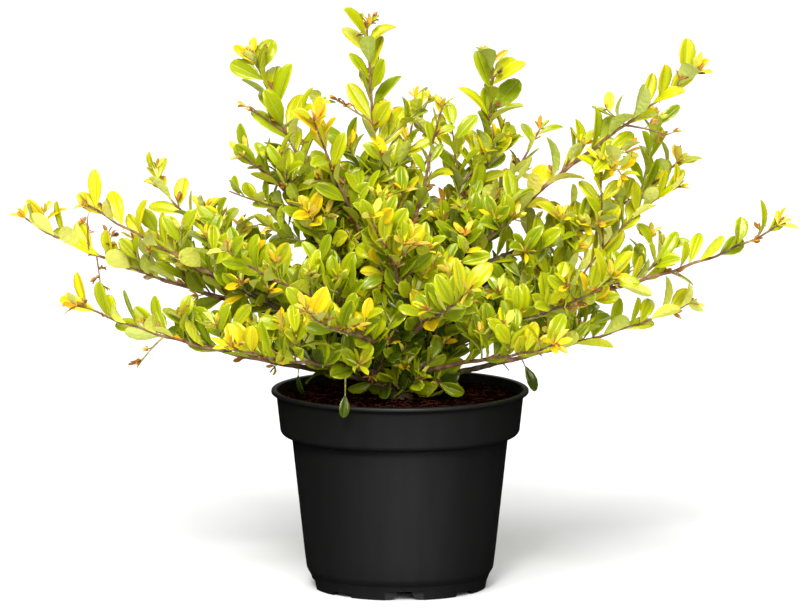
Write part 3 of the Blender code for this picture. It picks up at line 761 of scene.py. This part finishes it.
def throat_outline():
    """A gap between two quarter-round tabs, wider at its foot."""
    top = THROAT_TOP_WIDTH / 2.0
    flare = THROAT_FOOT_WIDTH / 2.0 - top
    quarter = arc((0.0, 0.0), 1.0, 0, 90, THROAT_STEPS)
    right = [(top + flare * (1.0 - wide), THROAT_HEIGHT * (1.0 - high)) for wide, high in quarter]
    right.append((top + flare, UNDERGROUND))
    return [(-wide, high) for wide, high in reversed(right)] + right


def make_pot():
    """Satin black moulded plastic, with faint upright streaks, a fine grain and notches in its foot."""
    plastic = new_material("satin_black_plastic", PLASTIC_BLACK, PLASTIC_FINISH)
    pot = add_mesh("nursery_pot", revolved(pot_outline(), POT_SEGMENTS), [plastic])
    outside = BASE_RADIUS + NOTCH_REACH
    inside = BASE_RADIUS - NOTCH_REACH
    for index in range(NOTCH_COUNT):
        bearing = NOTCH_FIRST_BEARING + index * 360.0 / NOTCH_COUNT
        if index % 2 == 0:
            cut_notch(pot, bearing, pocket_outline(*WIDE_NOTCH), BASE_RADIUS - POCKET_DEPTH, outside)
            cut_notch(pot, bearing, throat_outline(), inside, outside)
        else:
            cut_notch(pot, bearing, pocket_outline(*SMALL_NOTCH), inside, outside)
    finish_piece(pot, ["pot"], POT_CRISP)


# Soil
def soil_level(x, y):
    """Height of the soil's crumbly top, which is calmer where the trunk stands."""
    place = Vector((x, y, 0.0))
    rough = sum(share * noise.noise(place * scale) for scale, share in SOIL_LUMPS)
    away = min(1.0, max(0.0, (hypot(x, y) - CALM_RADIUS) / CALM_FADE))
    return SOIL_TOP + SOIL_RELIEF * rough * (CALM_RELIEF + (1.0 - CALM_RELIEF) * away) - SOIL_SINK


def soil_body():
    """The soil's body: pot-shaped below, with a displaced top."""
    outline = [
        (0.0, FLOOR_TOP + GAP),
        (BODY_FOOT_RADIUS - WALL * 3.0 - 0.003, FLOOR_TOP + GAP),
        (BODY_FOOT_RADIUS - WALL * 3.0, FLOOR_TOP + 0.0034),
        (BODY_TOP_RADIUS - WALL * 1.6, BAND_FOOT + WALL + 0.0006),
        (BAND_RADIUS_LOW - WALL * 1.6, BAND_FOOT + BAND_CORNER + 0.002),
    ]
    top_radius = BAND_RADIUS_HIGH - WALL * 1.8
    for ring in range(SOIL_RINGS):
        outline.append((top_radius * (1.0 - ring / SOIL_RINGS), SOIL_TOP))
    points, faces = revolved(outline + [(0.0, SOIL_TOP)], SOIL_SEGMENTS)
    return [(x, y, soil_level(x, y) if z == SOIL_TOP else z) for x, y, z in points], faces


def crumb(place, size, chance):
    """A rough eight-faced crumb."""
    points = []
    for axis in range(3):
        for way in (-1.0, 1.0):
            corner = Vector((0.0, 0.0, 0.0))
            corner[axis] = way * size * chance.uniform(*CRUMB_STRETCH)
            for other in range(3):
                if other != axis:
                    corner[other] = size * chance.uniform(*CRUMB_SKEW)
            points.append(place + corner)
    faces = [(1, 3, 5), (3, 0, 5), (0, 2, 5), (2, 1, 5), (3, 1, 4), (0, 3, 4), (2, 0, 4), (1, 2, 4)]
    return points, faces


def fibre(place, chance):
    """A short bent three-sided root fibre that lies on the soil."""
    bearing = chance.uniform(0.0, 360.0)
    length = FIBRE_LENGTH * chance.uniform(*FIBRE_LENGTH_RANGE)
    along = heading(bearing, chance.uniform(*FIBRE_RISES))
    side = across(along)
    arched = side * length * chance.uniform(*FIBRE_BENDS) + UP * FIBRE_ARCH
    radius = FIBRE_RADIUS * chance.uniform(*FIBRE_RADIUS_RANGE)
    points = []
    for ring in range(FIBRE_RINGS):
        share = ring / (FIBRE_RINGS - 1)
        middle = place + along * length * (share - 0.5) + arched * sin(pi * share) + UP * FIBRE_LIFT
        for turn in map(radians, (90.0, 210.0, 330.0)):
            points.append(middle + (side * cos(turn) + UP * sin(turn)) * radius)
    return points, tube_faces(FIBRE_RINGS, 3)


def make_soil():
    earth = patchy_material("crumbly_soil", SOIL_COLOURS, SOIL_PATCHES, SOIL_FINISH)
    finish_piece(add_mesh("soil_fill", soil_body(), [earth]), ["soil"], SOIL_CRISP)
    chance = random.Random(SOIL_SEED)
    crumbs = ([], [])
    fibres = ([], [])
    most = BAND_RADIUS_HIGH - WALL - WALL_CLEARANCE
    for number in range(CRUMB_COUNT + FIBRE_COUNT):
        radius = most * sqrt(chance.uniform(BARE_SHARE, 1.0))
        turn = chance.uniform(0.0, FULL_TURN)
        x = radius * cos(turn)
        y = radius * sin(turn)
        place = Vector((x, y, soil_level(x, y)))
        if number < CRUMB_COUNT:
            size = CRUMB_SIZE * chance.uniform(*CRUMB_SIZE_RANGE)
            gather(crumbs, crumb(place + UP * (size * 0.3), size, chance))
        elif radius < most - FIBRE_LENGTH * 0.6:
            gather(fibres, fibre(place, chance))
    finish_piece(add_mesh("soil_crumbs", crumbs, [earth]))
    rust = new_material("root_fibres", FIBRE_RUST, FIBRE_FINISH)
    finish_piece(add_mesh("soil_fibres", fibres, [rust]))


# Trunk and limbs
def trunk_point(share):
    """A point on the trunk's leaning middle line, from the soil (0) to its fork (1)."""
    base = SOIL_TOP + GAP
    return Vector((-TRUNK_LEAN * share ** 1.5, TRUNK_LEAN_BACK * share, base + TRUNK_HEIGHT * share))


def trunk_radius(share):
    flare = max(0.0, 1.0 - share * TRUNK_HEIGHT / TRUNK_FLARE_HEIGHT) ** 2
    shaft = TRUNK_WAIST_RADIUS + (TRUNK_FORK_RADIUS - TRUNK_WAIST_RADIUS) * share
    return shaft + (TRUNK_FOOT_RADIUS - TRUNK_WAIST_RADIUS) * flare


class Path:
    """A limb's middle line and taper. Shares run from 0 where it starts to 1 at its tip."""

    def __init__(self, point, radius):
        self.point = point
        self.radius = radius
        steps = [point(step / PATH_STEPS) for step in range(PATH_STEPS + 1)]
        self.length = sum((b - a).length for a, b in zip(steps, steps[1:]))

    def direction(self, share):
        before = self.point(max(share - DIRECTION_STEP, 0.0))
        after = self.point(min(share + DIRECTION_STEP, 1.0))
        return (after - before).normalized()


def limb_path(limb, start, seed):
    """A cubic curve from the start to the limb's tip, with a slight sideways sway and kinks."""
    tip = heading(limb.bearing, 0.0) * limb.reach + UP * limb.height
    run = tip - start
    bearing = degrees(atan2(run.y, run.x))
    handle = run.length * LIMB_HANDLE
    leave = start + heading(bearing, limb.rise) * handle
    arrive = tip - heading(bearing, limb.tip_rise) * handle
    side = across(run)
    kinks = run.length / (NODE_STEP * KINK_NODES)
    chance = random.Random(seed)
    phase = chance.uniform(0.0, pi)
    waves = chance.uniform(*LIMB_WAVES)

    def point(share):
        rest = 1.0 - share
        place = start * rest ** 3 + leave * (3.0 * rest ** 2 * share)
        place += arrive * (3.0 * rest * share ** 2) + tip * share ** 3
        sway = LIMB_SWAY * sin(phase + waves * pi * share) * share * rest * 4.0
        kink = LIMB_KINK * share * asin(sin(pi * share * kinks))
        return place + side * sway + UP * kink

    def radius(share):
        return LIMB_TIP_RADIUS + (limb.radius - LIMB_TIP_RADIUS) * max(0.0, 1.0 - share) ** LIMB_TAPER

    return Path(point, radius)


def all_paths():
    """The trunk's path and every limb's, each limb starting inside its parent."""
    paths = {"trunk": Path(trunk_point, trunk_radius)}
    for seed, limb in enumerate(LIMBS):
        paths[limb.name] = limb_path(limb, paths[limb.parent].point(limb.share), seed)
    return paths


def bark_swell(path, share, from_base, seed, turn):
    """How much thicker than its plain taper a limb is at one place round it."""
    distance = share * path.length
    away = RIDGES_ROUND
    spot = Vector((away * cos(turn), away * sin(turn), distance * RIDGES_ALONG + seed))
    ridges = noise.noise(spot * COARSE_RIDGES) + FINE_SHARE * noise.noise(spot * FINE_RIDGES)
    node = NODE_SWELL * cos(pi * distance / NODE_STEP) ** NODE_SHARPNESS
    collar = COLLAR_SWELL * exp(-((distance / COLLAR_LENGTH) ** 2)) if from_base else 0.0
    return 1.0 + BARK_RELIEF * ridges + node + collar


def bark_tube(path, first, last, step, sides, seed, from_base=False):
    """A closed tube round a path between two shares, with the bark's relief."""
    rings = max(2, round(path.length * (last - first) / step) + 1)
    side = across(path.direction(first))
    points = []
    for ring in range(rings):
        share = first + (last - first) * ring / (rings - 1)
        along = path.direction(share)
        side = square_to(side, along)
        up = side.cross(along)
        middle = path.point(share)
        for corner in range(sides):
            turn = FULL_TURN * corner / sides
            radius = path.radius(share) * bark_swell(path, share, from_base, seed, turn)
            points.append(middle + (side * cos(turn) + up * sin(turn)) * radius)
    return points, tube_faces(rings, sides)


def tube_faces(rings, sides):
    """The walls and the two ends of a tube."""
    faces = [tuple(range(sides))]
    for ring in range(rings - 1):
        low = ring * sides
        for step in range(sides):
            after = (step + 1) % sides
            faces.append((low + after, low + step, low + sides + step, low + sides + after))
    faces.append(tuple(reversed(range((rings - 1) * sides, rings * sides))))
    return faces


def make_limbs(paths):
    """The trunk and boughs with their bark, and the stems that carry on into the foliage."""
    # The trunk's and boughs' bark colours hold painted shade as well as the old bark's own darker colour.
    old_bark = bark_material("old_bark")
    tube = bark_tube(paths["trunk"], 0.0, 1.0, TRUNK_RING_STEP, TRUNK_SIDES, TRUNK_SEED)
    trunk = add_mesh("trunk_bark", tube, [old_bark])
    for corner in trunk.data.vertices[:TRUNK_SIDES]:
        corner.co.z = SOIL_TOP - TRUNK_SINK
    finish_piece(trunk, ["trunk"], BARK_CRISP)
    boughs = ([], [])
    stems = ([], [])
    for index, limb in enumerate(LIMBS):
        path = paths[limb.name]
        seed = 10.0 * index
        gather(boughs, bark_tube(path, 0.0, limb.bare, LIMB_RING_STEP, LIMB_SIDES, seed, True))
        gather(stems, bark_tube(path, limb.bare, 1.0, LIMB_RING_STEP, STEM_SIDES, seed))
    replaced = ["bough_" + limb.name for limb in LIMBS]
    finish_piece(add_mesh("bough_bark", boughs, [old_bark]), replaced, BARK_CRISP)
    finish_piece(add_mesh("stem_bark", stems, [bark_material("red_bark")]), [], BARK_CRISP)


# Leaf looks. Each is six material numbers, in this order: blade, rib, underside, margin, the rib of the
# underside, and the blade beside the rib.
BLADE, RIB, BACK, MARGIN, BACK_RIB, INNER = range(6)


def tinted(colour, number):
    """One of a few lighter or darker versions of a colour, the lighter ones yellower."""
    shift = (number - (TINTS - 1) / 2.0) * TINT_SPREAD
    red, green, blue = colour
    return min(1.0, red * (1.0 + shift * 1.3)), min(1.0, green * (1.0 + shift)), blue * (1.0 + shift * 0.5)


def paler(colour, share):
    """A colour moved this far towards the pale green of a leaf's rib, and less far if it is dark."""
    share *= min(1.0, colour[1] / DARK_GREEN)
    return tuple(value + (goal - value) * share for value, goal in zip(colour, PALE_GREEN))


class Looks:
    """Every leaf look by name, and the materials that their numbers stand for."""

    def __init__(self):
        self.materials = []
        self.sets = {}
        for tone in TONES:
            for number in range(TINTS):
                self.add(f"{tone.name}_{number}", tinted(tone.upper, number), tinted(tone.under, number))
        for name, (upper, under) in TIP_COLOURS.items():
            self.add(name, upper, under)
        self.shade_blades()

    def add(self, name, upper, under):
        first = len(self.materials)
        parts = [("top", upper, LEAF_TOP), ("rib", paler(upper, RIB_PALENESS), LEAF_TOP),
                 ("back", under, LEAF_BACK), ("vein", paler(under, BACK_RIB_PALENESS), LEAF_BACK)]
        for part, colour, finish in parts:
            self.materials.append(new_material(f"leaf_{part}_{name}", colour, finish))
        self.sets[name] = [first, first + 1, first + 2, first, first + 3, first]

    def toned(self, level, number):
        return self.sets[f"{TONES[level].name}_{number}"]

    def shade_blades(self):
        """A brighter margin and a duller blade beside the rib, both from the tints and tones next to it."""
        last = len(TONES) - 1
        for level, number in product(range(len(TONES)), range(TINTS)):
            look = self.toned(level, number)
            if level == 0:
                look[MARGIN] = self.toned(level, TINTS - 1)[BLADE]
            elif level < last:
                look[MARGIN] = self.toned(level + 1, 0)[BLADE]
            if level > 0 and number > 0:
                look[INNER] = self.toned(level, number - 1)[BLADE]
            elif level > 1:
                look[INNER] = self.toned(level - 1, TINTS - 1)[BLADE]


def sunlit_at(place):
    """0 in the crown's heart, 1 at its edge and beyond; less low down, in the crown's shade. The darker leaf
    tones picked where it is low are partly painted shade.
    """
    off = place - HEART
    reach = sqrt(sum((off[axis] / CROWN_HALF[axis]) ** 2 for axis in range(3)))
    shade = LOW_SHADE * min(1.0, max(0.0, -off.z / LOW_SHADE_DEPTH)) * max(0.0, 1.0 - reach)
    return min(MOST_SUNLIT, reach - shade)


# Leaf blades
Leaf = namedtuple("Leaf", "root along face length width fold curl look")


class Blade:
    """A leaf pattern: rings of points across the leaf, repeated from its stalk to its tip."""

    def __init__(self, rows, upper, under, kinds, margin_rows):
        self.rows = np.array(rows)
        self.columns = np.array(upper + under)
        self.upper_count = len(upper)
        self.quads = []
        self.kinds = []
        ring = len(self.columns)
        bands = len(rows) - 1
        for row, column in product(range(bands), range(ring)):
            after = (column + 1) % ring
            low = row * ring
            self.quads.append((low + column, low + after, low + ring + after, low + ring + column))
            at_tip = row >= bands - margin_rows and kinds[column] == BLADE
            self.kinds.append(MARGIN if at_tip else kinds[column])
        last = bands * ring
        self.caps = [tuple(reversed(range(ring))), tuple(range(last, last + ring))]

    def half_widths(self):
        """Half the blade's width at each row: a narrow foot, widest past the middle, and a round tip."""
        shares = np.clip(self.rows, 0.0, 1.0)
        foot = np.sin(np.pi / 2.0 * np.clip(shares / LEAF_WIDEST, 0.0, 1.0)) ** LEAF_FOOT_POWER
        past = np.clip((shares - LEAF_WIDEST) / (1.0 - LEAF_WIDEST), 0.0, 1.0)
        return np.maximum(foot * np.sqrt(1.0 - past ** 2), LEAST_HALF_WIDTH)

    def points(self, leaves):
        """World points of many leaves at once, as an array of leaves by points by 3."""
        root, along, face, length, width, fold, curl = (
            np.array([leaf[part] for leaf in leaves], float)[:, None, None] for part in range(7))
        side = np.cross(along, face)
        row = self.rows[:, None]
        half = self.half_widths()[:, None] * width / 2.0
        spread = np.abs(self.columns)
        is_under = np.arange(len(self.columns)) >= self.upper_count
        puff = np.sin(np.pi * np.clip((spread - RIB_WIDTH) / (1.0 - RIB_WIDTH), 0.0, 1.0))
        out = self.columns * half * np.cos(fold)
        lift = half * (spread * np.sin(fold) + LEAF_PUFF * np.where(is_under, 0.0, puff))
        lift = lift + curl * length * (row ** 2 - LEAF_ARCH * row) - np.where(is_under, LEAF_THICKNESS, 0.0)
        places = root + along * (row * length)[..., None] + side * out[..., None] + face * lift[..., None]
        return places.reshape(len(leaves), -1, 3)


FULL_BLADE = Blade((-0.1, 0.03, 0.18, 0.4, 0.64, 0.84, 0.96, 1.0),
                   (-1.0, -0.84, -0.45, -RIB_WIDTH, RIB_WIDTH, 0.45, 0.84, 1.0), (RIB_WIDTH, -RIB_WIDTH),
                   (MARGIN, BLADE, INNER, RIB, INNER, BLADE, MARGIN, BACK, BACK_RIB, BACK), 2)
SMALL_BLADE = Blade((-0.05, 0.15, 0.5, 0.82, 1.0), (-1.0, -RIB_WIDTH, RIB_WIDTH, 1.0), (0.0,),
                    (BLADE, RIB, BLADE, BACK, BACK), 0)


def make_leaves(name, blade, leaves, looks, replaced):
    """Joins many leaves of one pattern into one piece, with a look for each."""
    points = blade.points(leaves)
    offsets = (np.arange(len(leaves)) * points.shape[1])[:, None, None]
    quads = (np.array(blade.quads)[None] + offsets).reshape(-1, 4)
    caps = (np.array(blade.caps)[None] + offsets).reshape(-1, len(blade.caps[0]))
    numbers = np.array([looks.sets[leaf.look] for leaf in leaves])
    cap_looks = np.repeat(numbers[:, BACK], len(blade.caps))
    face_looks = np.concatenate([numbers[:, blade.kinds].reshape(-1), cap_looks])
    used, indices = np.unique(face_looks, return_inverse=True)
    materials = [looks.materials[number] for number in used]
    shape = (points.reshape(-1, 3).tolist(), quads.tolist() + caps.tolist())
    finish_piece(add_mesh(name, shape, materials, indices), replaced, LEAF_CRISP)


# The growing crown
REGIONS = ("left", "right", "front", "back", "top")


def region_of(limb_name):
    first = limb_name.split("_")[0]
    return first if first in REGIONS else "top"


def in_pot(place):
    """True where the pot, its soil or the ground leaves no room."""
    radius = hypot(place.x, place.y)
    if radius < RIM_RADIUS + POT_CLEARANCE:
        over_wall = radius > WALL_INSIDE
        return place.z < SOIL_TOP + SOIL_CLEARANCE or (over_wall and place.z < POT_HEIGHT + POT_CLEARANCE)
    return place.z < GROUND_CLEARANCE


class Crown:
    """The leaves and twigs grown so far, and the room that is left for more."""

    def __init__(self, paths):
        self.full = {region: [] for region in REGIONS}
        self.small = {region: [] for region in REGIONS}
        self.twigs = {kind: ([], []) for kind in TWIG_KINDS}
        self.looks = Looks()
        self.middles = {}
        samples = []
        for path in paths.values():
            steps = max(2, round(path.length / LIMB_SAMPLE_STEP))
            samples += [path.point(step / steps) for step in range(steps + 1)]
        self.limb_tree = KDTree(len(samples))
        for number, place in enumerate(samples):
            self.limb_tree.insert(place, number)
        self.limb_tree.balance()

    def near_limb(self, place, clearance):
        return self.limb_tree.find(place)[2] < clearance

    def cell(self, place):
        return tuple(int(value // LEAF_SPACING) for value in place)

    def crowded(self, place):
        """True where the middle of another full leaf is nearer than the spacing."""
        cell = self.cell(place)
        near_cells = (tuple(map(sum, zip(cell, step))) for step in product((-1, 0, 1), repeat=3))
        others = (other for near_cell in near_cells for other in self.middles.get(near_cell, ()))
        return any((other - place).length < LEAF_SPACING for other in others)

    def add_leaf(self, region, leaf, small=False):
        """Adds a leaf where the pot leaves room and, for a full leaf, other full leaves and the limbs do."""
        middle = leaf.root + leaf.along * leaf.length * LEAF_MIDDLE
        tip = leaf.root + leaf.along * leaf.length + leaf.face * leaf.curl * leaf.length * (1.0 - LEAF_ARCH)
        if in_pot(middle) or in_pot(tip):
            return
        if small:
            self.small[region].append(leaf)
        elif not (self.crowded(middle) or self.near_limb(middle, LIMB_CLEARANCE)
                  or self.near_limb(tip, LIMB_CLEARANCE)):
            self.middles.setdefault(self.cell(middle), []).append(middle)
            self.full[region].append(leaf)


def twig_path(start, along, length, bend=TWIG_BEND):
    """A short twig that curves up, or down where its bend is below zero."""
    rise = UP * (length * bend)
    start_radius = TWIG_RADIUS * min(1.0, THINNEST_TWIG + length / THICK_TWIG_LENGTH)

    def point(share):
        return start + along * length * share + rise * share ** 2

    def radius(share):
        return start_radius * (1.0 - TWIG_TAPER * share)

    return Path(point, radius)


def leaf_pose(stem, turn, lift, twist, spread, sunward):
    """Where a leaf points and where its upper face looks, from its place round the stem and the light."""
    outward = beside(stem, turn)
    along = (tilted(stem, outward, spread) + UP * lift).normalized()
    face = square_to(stem * 0.5 + UP * 0.6 - outward * 0.4 + sunward, along)
    return along, tilted(face, along.cross(face), twist)


class Grower:
    """Grows leaves and twigs in one region of the crown, with random draws of its own."""

    def __init__(self, crown, region, seed):
        self.crown = crown
        self.region = region
        self.chance = random.Random(seed)
        self.draw = self.chance.uniform

    def pick(self, odds):
        """One of the names, by the odds of each."""
        return self.chance.choices(list(odds), odds.values())[0]

    def tone_at(self, place):
        """A tone's name for a place. Sunlit places have the yellower tones more often, and shaded places the
        darker ones, which are partly painted shade.
        """
        sunlit = sunlit_at(place)
        return self.pick({
            tone.name: tone.amount * exp(-(((sunlit - tone.sunlit) / tone.spread) ** 2)) + 1e-6
            for tone in TONES})

    def leaf(self, path, share, turn, tone, size, lifts=LEAF_LIFTS):
        """One full leaf from a stem. On upright stems it turns more to the light and lifts less."""
        place = path.point(share)
        stem = path.direction(share)
        upright = max(0.0, stem.z) ** 2
        lit_side = LIGHT_SIDE * (1.0 + UPRIGHT_TURN * upright)
        sunward = ((place - HEART).normalized() + lit_side) * self.draw(*LEAF_SUNWARD)
        twist = self.draw(-LEAF_TWIST, LEAF_TWIST) * (1.0 - UPRIGHT_CALM * upright)
        spread = self.draw(*LEAF_SPREADS)
        lift = self.draw(*lifts) * (1.0 - UPRIGHT_EASE * upright)
        along, face = leaf_pose(stem, turn, lift, twist, spread, sunward)
        root = place + along * path.radius(share) * 0.6
        length = LEAF_LENGTH * size * self.draw(*LENGTH_RANGE)
        width = LEAF_WIDTH * size * self.draw(*WIDTH_RANGE)
        fold = radians(self.draw(*LEAF_FOLDS))
        curl = self.draw(*LEAF_CURLS)
        look = f"{tone}_{self.chance.randrange(TINTS)}"
        self.crown.add_leaf(self.region, Leaf(root, along, face, length, width, fold, curl, look))

    def small_leaf(self, root, along, length, width, look):
        """One small leaf, twisted any way."""
        face = square_to(UP + along * 0.3, along)
        face = tilted(face, along.cross(face), self.draw(-SMALL_TWIST, SMALL_TWIST))
        fold = radians(self.draw(*SMALL_FOLDS))
        curl = self.draw(*SMALL_CURLS)
        self.crown.add_leaf(self.region, Leaf(root, along, face, length, width, fold, curl, look), True)

    def young_leaf(self, place, along, kind, scale):
        """One small leaf of a tuft."""
        look = self.pick(kind.looks)
        length = self.draw(*kind.lengths) * scale
        self.small_leaf(place, along, length, length * self.draw(*kind.widths), look)

    def tuft(self, place, direction, scale):
        """A shoot tip: narrow golden leaves round a heart of small red-brown ones."""
        outer = self.chance.randint(*TUFT_RING.counts)
        first = self.draw(0.0, FULL_TURN)
        for number in range(outer):
            outward = beside(direction, first + FULL_TURN * number / outer)
            along = tilted(direction, outward, self.draw(*TUFT_RING.tilts))
            along = (along + UP * self.draw(*RING_LIFTS)).normalized()
            self.young_leaf(place, along, TUFT_RING, scale)
        for number in range(self.chance.randint(*TUFT_HEART.counts)):
            outward = beside(direction, first + HEART_TURN * number)
            along = tilted(direction, outward, self.draw(*TUFT_HEART.tilts))
            self.young_leaf(place, along, TUFT_HEART, scale)

    def bark(self, path):
        """The bark of a twig, red or green."""
        kind = self.pick(TWIG_KINDS)
        seed = self.draw(0.0, 50.0)
        gather(self.crown.twigs[kind], bark_tube(path, 0.0, 1.0, TWIG_RING_STEP, TWIG_SIDES, seed))

    def bud(self, path, share, turn):
        """A short side bud in a leaf's crook: a stalk with a few small young leaves."""
        direction = path.direction(share)
        along = tilted(direction, beside(direction, turn), self.draw(*STALK_TILTS))
        length = self.draw(*STALK_LENGTHS)
        stalk = twig_path(path.point(share), along, length + path.radius(share))
        if in_pot(stalk.point(1.0)):
            return
        self.bark(stalk)
        for _ in range(self.chance.randint(*BUD.counts)):
            outward = square_to(heading(self.draw(0.0, 360.0), BUD_LEAF_RISE), along)
            spread = tilted(along, outward, self.draw(*BUD.tilts))
            size = self.draw(*BUD.lengths)
            self.small_leaf(stalk.point(0.97), spread, size, size * BUD.widths[0], self.pick(BUD.looks))

    def sprout(self, parent, share, number, length, level):
        """A side twig, on one side or the other by its number, where there is room for it."""
        stem = parent.direction(share)
        side = across(stem)
        outward = tilted(side if number % 2 else -side, side.cross(stem), self.draw(*TWIG_LEANS))
        along = tilted(stem, outward, self.draw(*TWIG_SPREADS))
        twig = twig_path(parent.point(share), along, length)
        tip = twig.point(1.0)
        if in_pot(tip) or in_pot(twig.point(0.6)) or self.crown.near_limb(tip, TWIG_CLEARANCE):
            return
        self.dress(twig, number, level)

    def dress(self, twig, number, level, lifts=LEAF_LIFTS, large=1.0):
        """A twig's leaves, the tuft at its tip and, if it is long, its own side twigs."""
        tip = twig.point(1.0)
        self.bark(twig)
        tone = self.tone_at(tip)
        turn = self.draw(0.0, FULL_TURN)
        for share in spaced(*TWIG_LEAFY, max(2, round(twig.length / TWIG_LEAF_STEP))):
            own_tone = self.tone_at(twig.point(share)) if self.chance.random() < ODD_TONE_CHANCE else tone
            self.leaf(twig, share, turn, own_tone, large * tapered(TWIG_LEAF_TAPER, share), lifts)
            turn += LEAF_TURN
        if self.chance.random() < TUFT_CHANCES[0] + TUFT_CHANCES[1] * sunlit_at(tip):
            self.tuft(tip, twig.direction(1.0), large)
        if level < 2 and twig.length > FORKED_TWIG_LENGTH:
            for index, share in enumerate(FORKS_AT):
                self.sprout(twig, share, index + number, twig.length * FORK_SIZE, level + 1)


def grow_shoot(crown, shoot, path, seed):
    """One of the shoots that the photo shows plainly."""
    grower = Grower(crown, region_of(shoot.limb), seed)
    along = heading(shoot.bearing, shoot.rise)
    twig = twig_path(path.point(shoot.share), along, shoot.length, shoot.bend)
    if shoot.dress == "leafy":
        grower.dress(twig, seed, 1)
    elif shoot.dress == "slender":
        grower.dress(twig, seed, 2, large=SLENDER_LEAF_SIZE)
    elif shoot.dress == "single":
        size = (shoot.length, shoot.length * SINGLE_LEAF_WIDTH)
        face = square_to(SINGLE_LEAF_FACE, along)
        crown.add_leaf(grower.region, Leaf(twig.point(0.0), along, face, *size, *SINGLE_LEAF_BEND, "lime_0"))
    else:
        grower.bark(twig)
    if shoot.dress == "young":
        for share in YOUNG_BUDS_AT:
            grower.bud(twig, share, grower.draw(0.0, 6.0))
    if shoot.dress == "hanging":
        for share in HANGING_LEAVES_AT:
            grower.leaf(twig, share, grower.draw(0.0, 6.0), "deep", HANGING_LEAF_SIZE, HANGING_LIFTS)


def grow_basal_shoots(crown, trunk):
    """Leafy shoots from the trunk's foot, which fill the crown's low middle."""
    grower = Grower(crown, "top", BASAL_SEED)
    for tier in BASAL_TIERS:
        for number in range(tier.count):
            share = tier.first + (tier.last - tier.first) * number / tier.count
            along = heading(number * degrees(LEAF_TURN), grower.draw(*tier.rises))
            twig = twig_path(trunk.point(share), along, tier.length * grower.draw(*BASAL_LENGTH_RANGE))
            if not in_pot(twig.point(1.0)):
                grower.dress(twig, number, 1, tier.lifts)


def dress_limb(crown, limb, path, seed):
    """Leaves, buds and side twigs along one limb, and a tuft at its tip."""
    grower = Grower(crown, region_of(limb.name), seed)
    tall = limb.name in TALL_LIMBS
    leafy = BARE_FEET.get(limb.name, LEAFY_FROM)
    large = LEAF_SIZES.get(limb.name, 1.0)
    count = round(path.length * (1.0 - leafy) / (TALL_LEAF_STEP if tall else STEM_LEAF_STEP))
    turn = grower.draw(0.0, FULL_TURN)
    for number, share in enumerate(spaced(leafy, LEAFY_TO, count)):
        if number % SAME_TONE_LEAVES == 0:
            tone = grower.tone_at(path.point(share))
        if tall and share > limb.bare:
            tone = grower.chance.choice(TALL_TONES)
        grower.leaf(path, share, turn, tone, large * tapered(LIMB_LEAF_TAPER, share))
        if grower.chance.random() < BUD_CHANCE * share:
            grower.bud(path, share, turn + 1.0)
        turn += LEAF_TURN
    first = max(TWIGGY_FROM, leafy)
    last = SPARSE_TO if limb.name in SPARSE_LIMBS else TWIGGY_TO[grower.region]
    count = round(path.length * (last - first) / TWIG_STEP)
    for number, share in enumerate(spaced(first, last, count)):
        length = TWIG_LENGTH * grower.draw(*TWIG_LENGTH_RANGE) * tapered(TWIG_LENGTH_TAPER, share)
        grower.sprout(path, share, number, length, 1)
    grower.tuft(path.point(1.0), path.direction(1.0), LIMB_TUFT_SIZE * min(1.0, large))


def make_crown(paths):
    """All the leaves and twigs, the leaves joined by region."""
    crown = Crown(paths)
    for seed, shoot in enumerate(SHOOTS, SHOOT_SEED):
        grow_shoot(crown, shoot, paths[shoot.limb], seed)
    for seed, limb in enumerate(LIMBS, LIMB_SEED):
        dress_limb(crown, limb, paths[limb.name], seed)
    grow_basal_shoots(crown, paths["trunk"])
    for region in REGIONS:
        masses = ["foliage_" + limb.name for limb in LIMBS if region_of(limb.name) == region]
        make_leaves(f"leaves_{region}", FULL_BLADE, crown.full[region], crown.looks, masses)
        make_leaves(f"young_leaves_{region}", SMALL_BLADE, crown.small[region], crown.looks, [])
    for kind, shape in crown.twigs.items():
        made = add_mesh(f"twigs_{kind}", shape, [bark_material(f"{kind}_twig")])
        finish_piece(made, [], BARK_CRISP)


make_studio()
make_pot()
make_soil()
limb_paths = all_paths()
make_limbs(limb_paths)
make_crown(limb_paths)
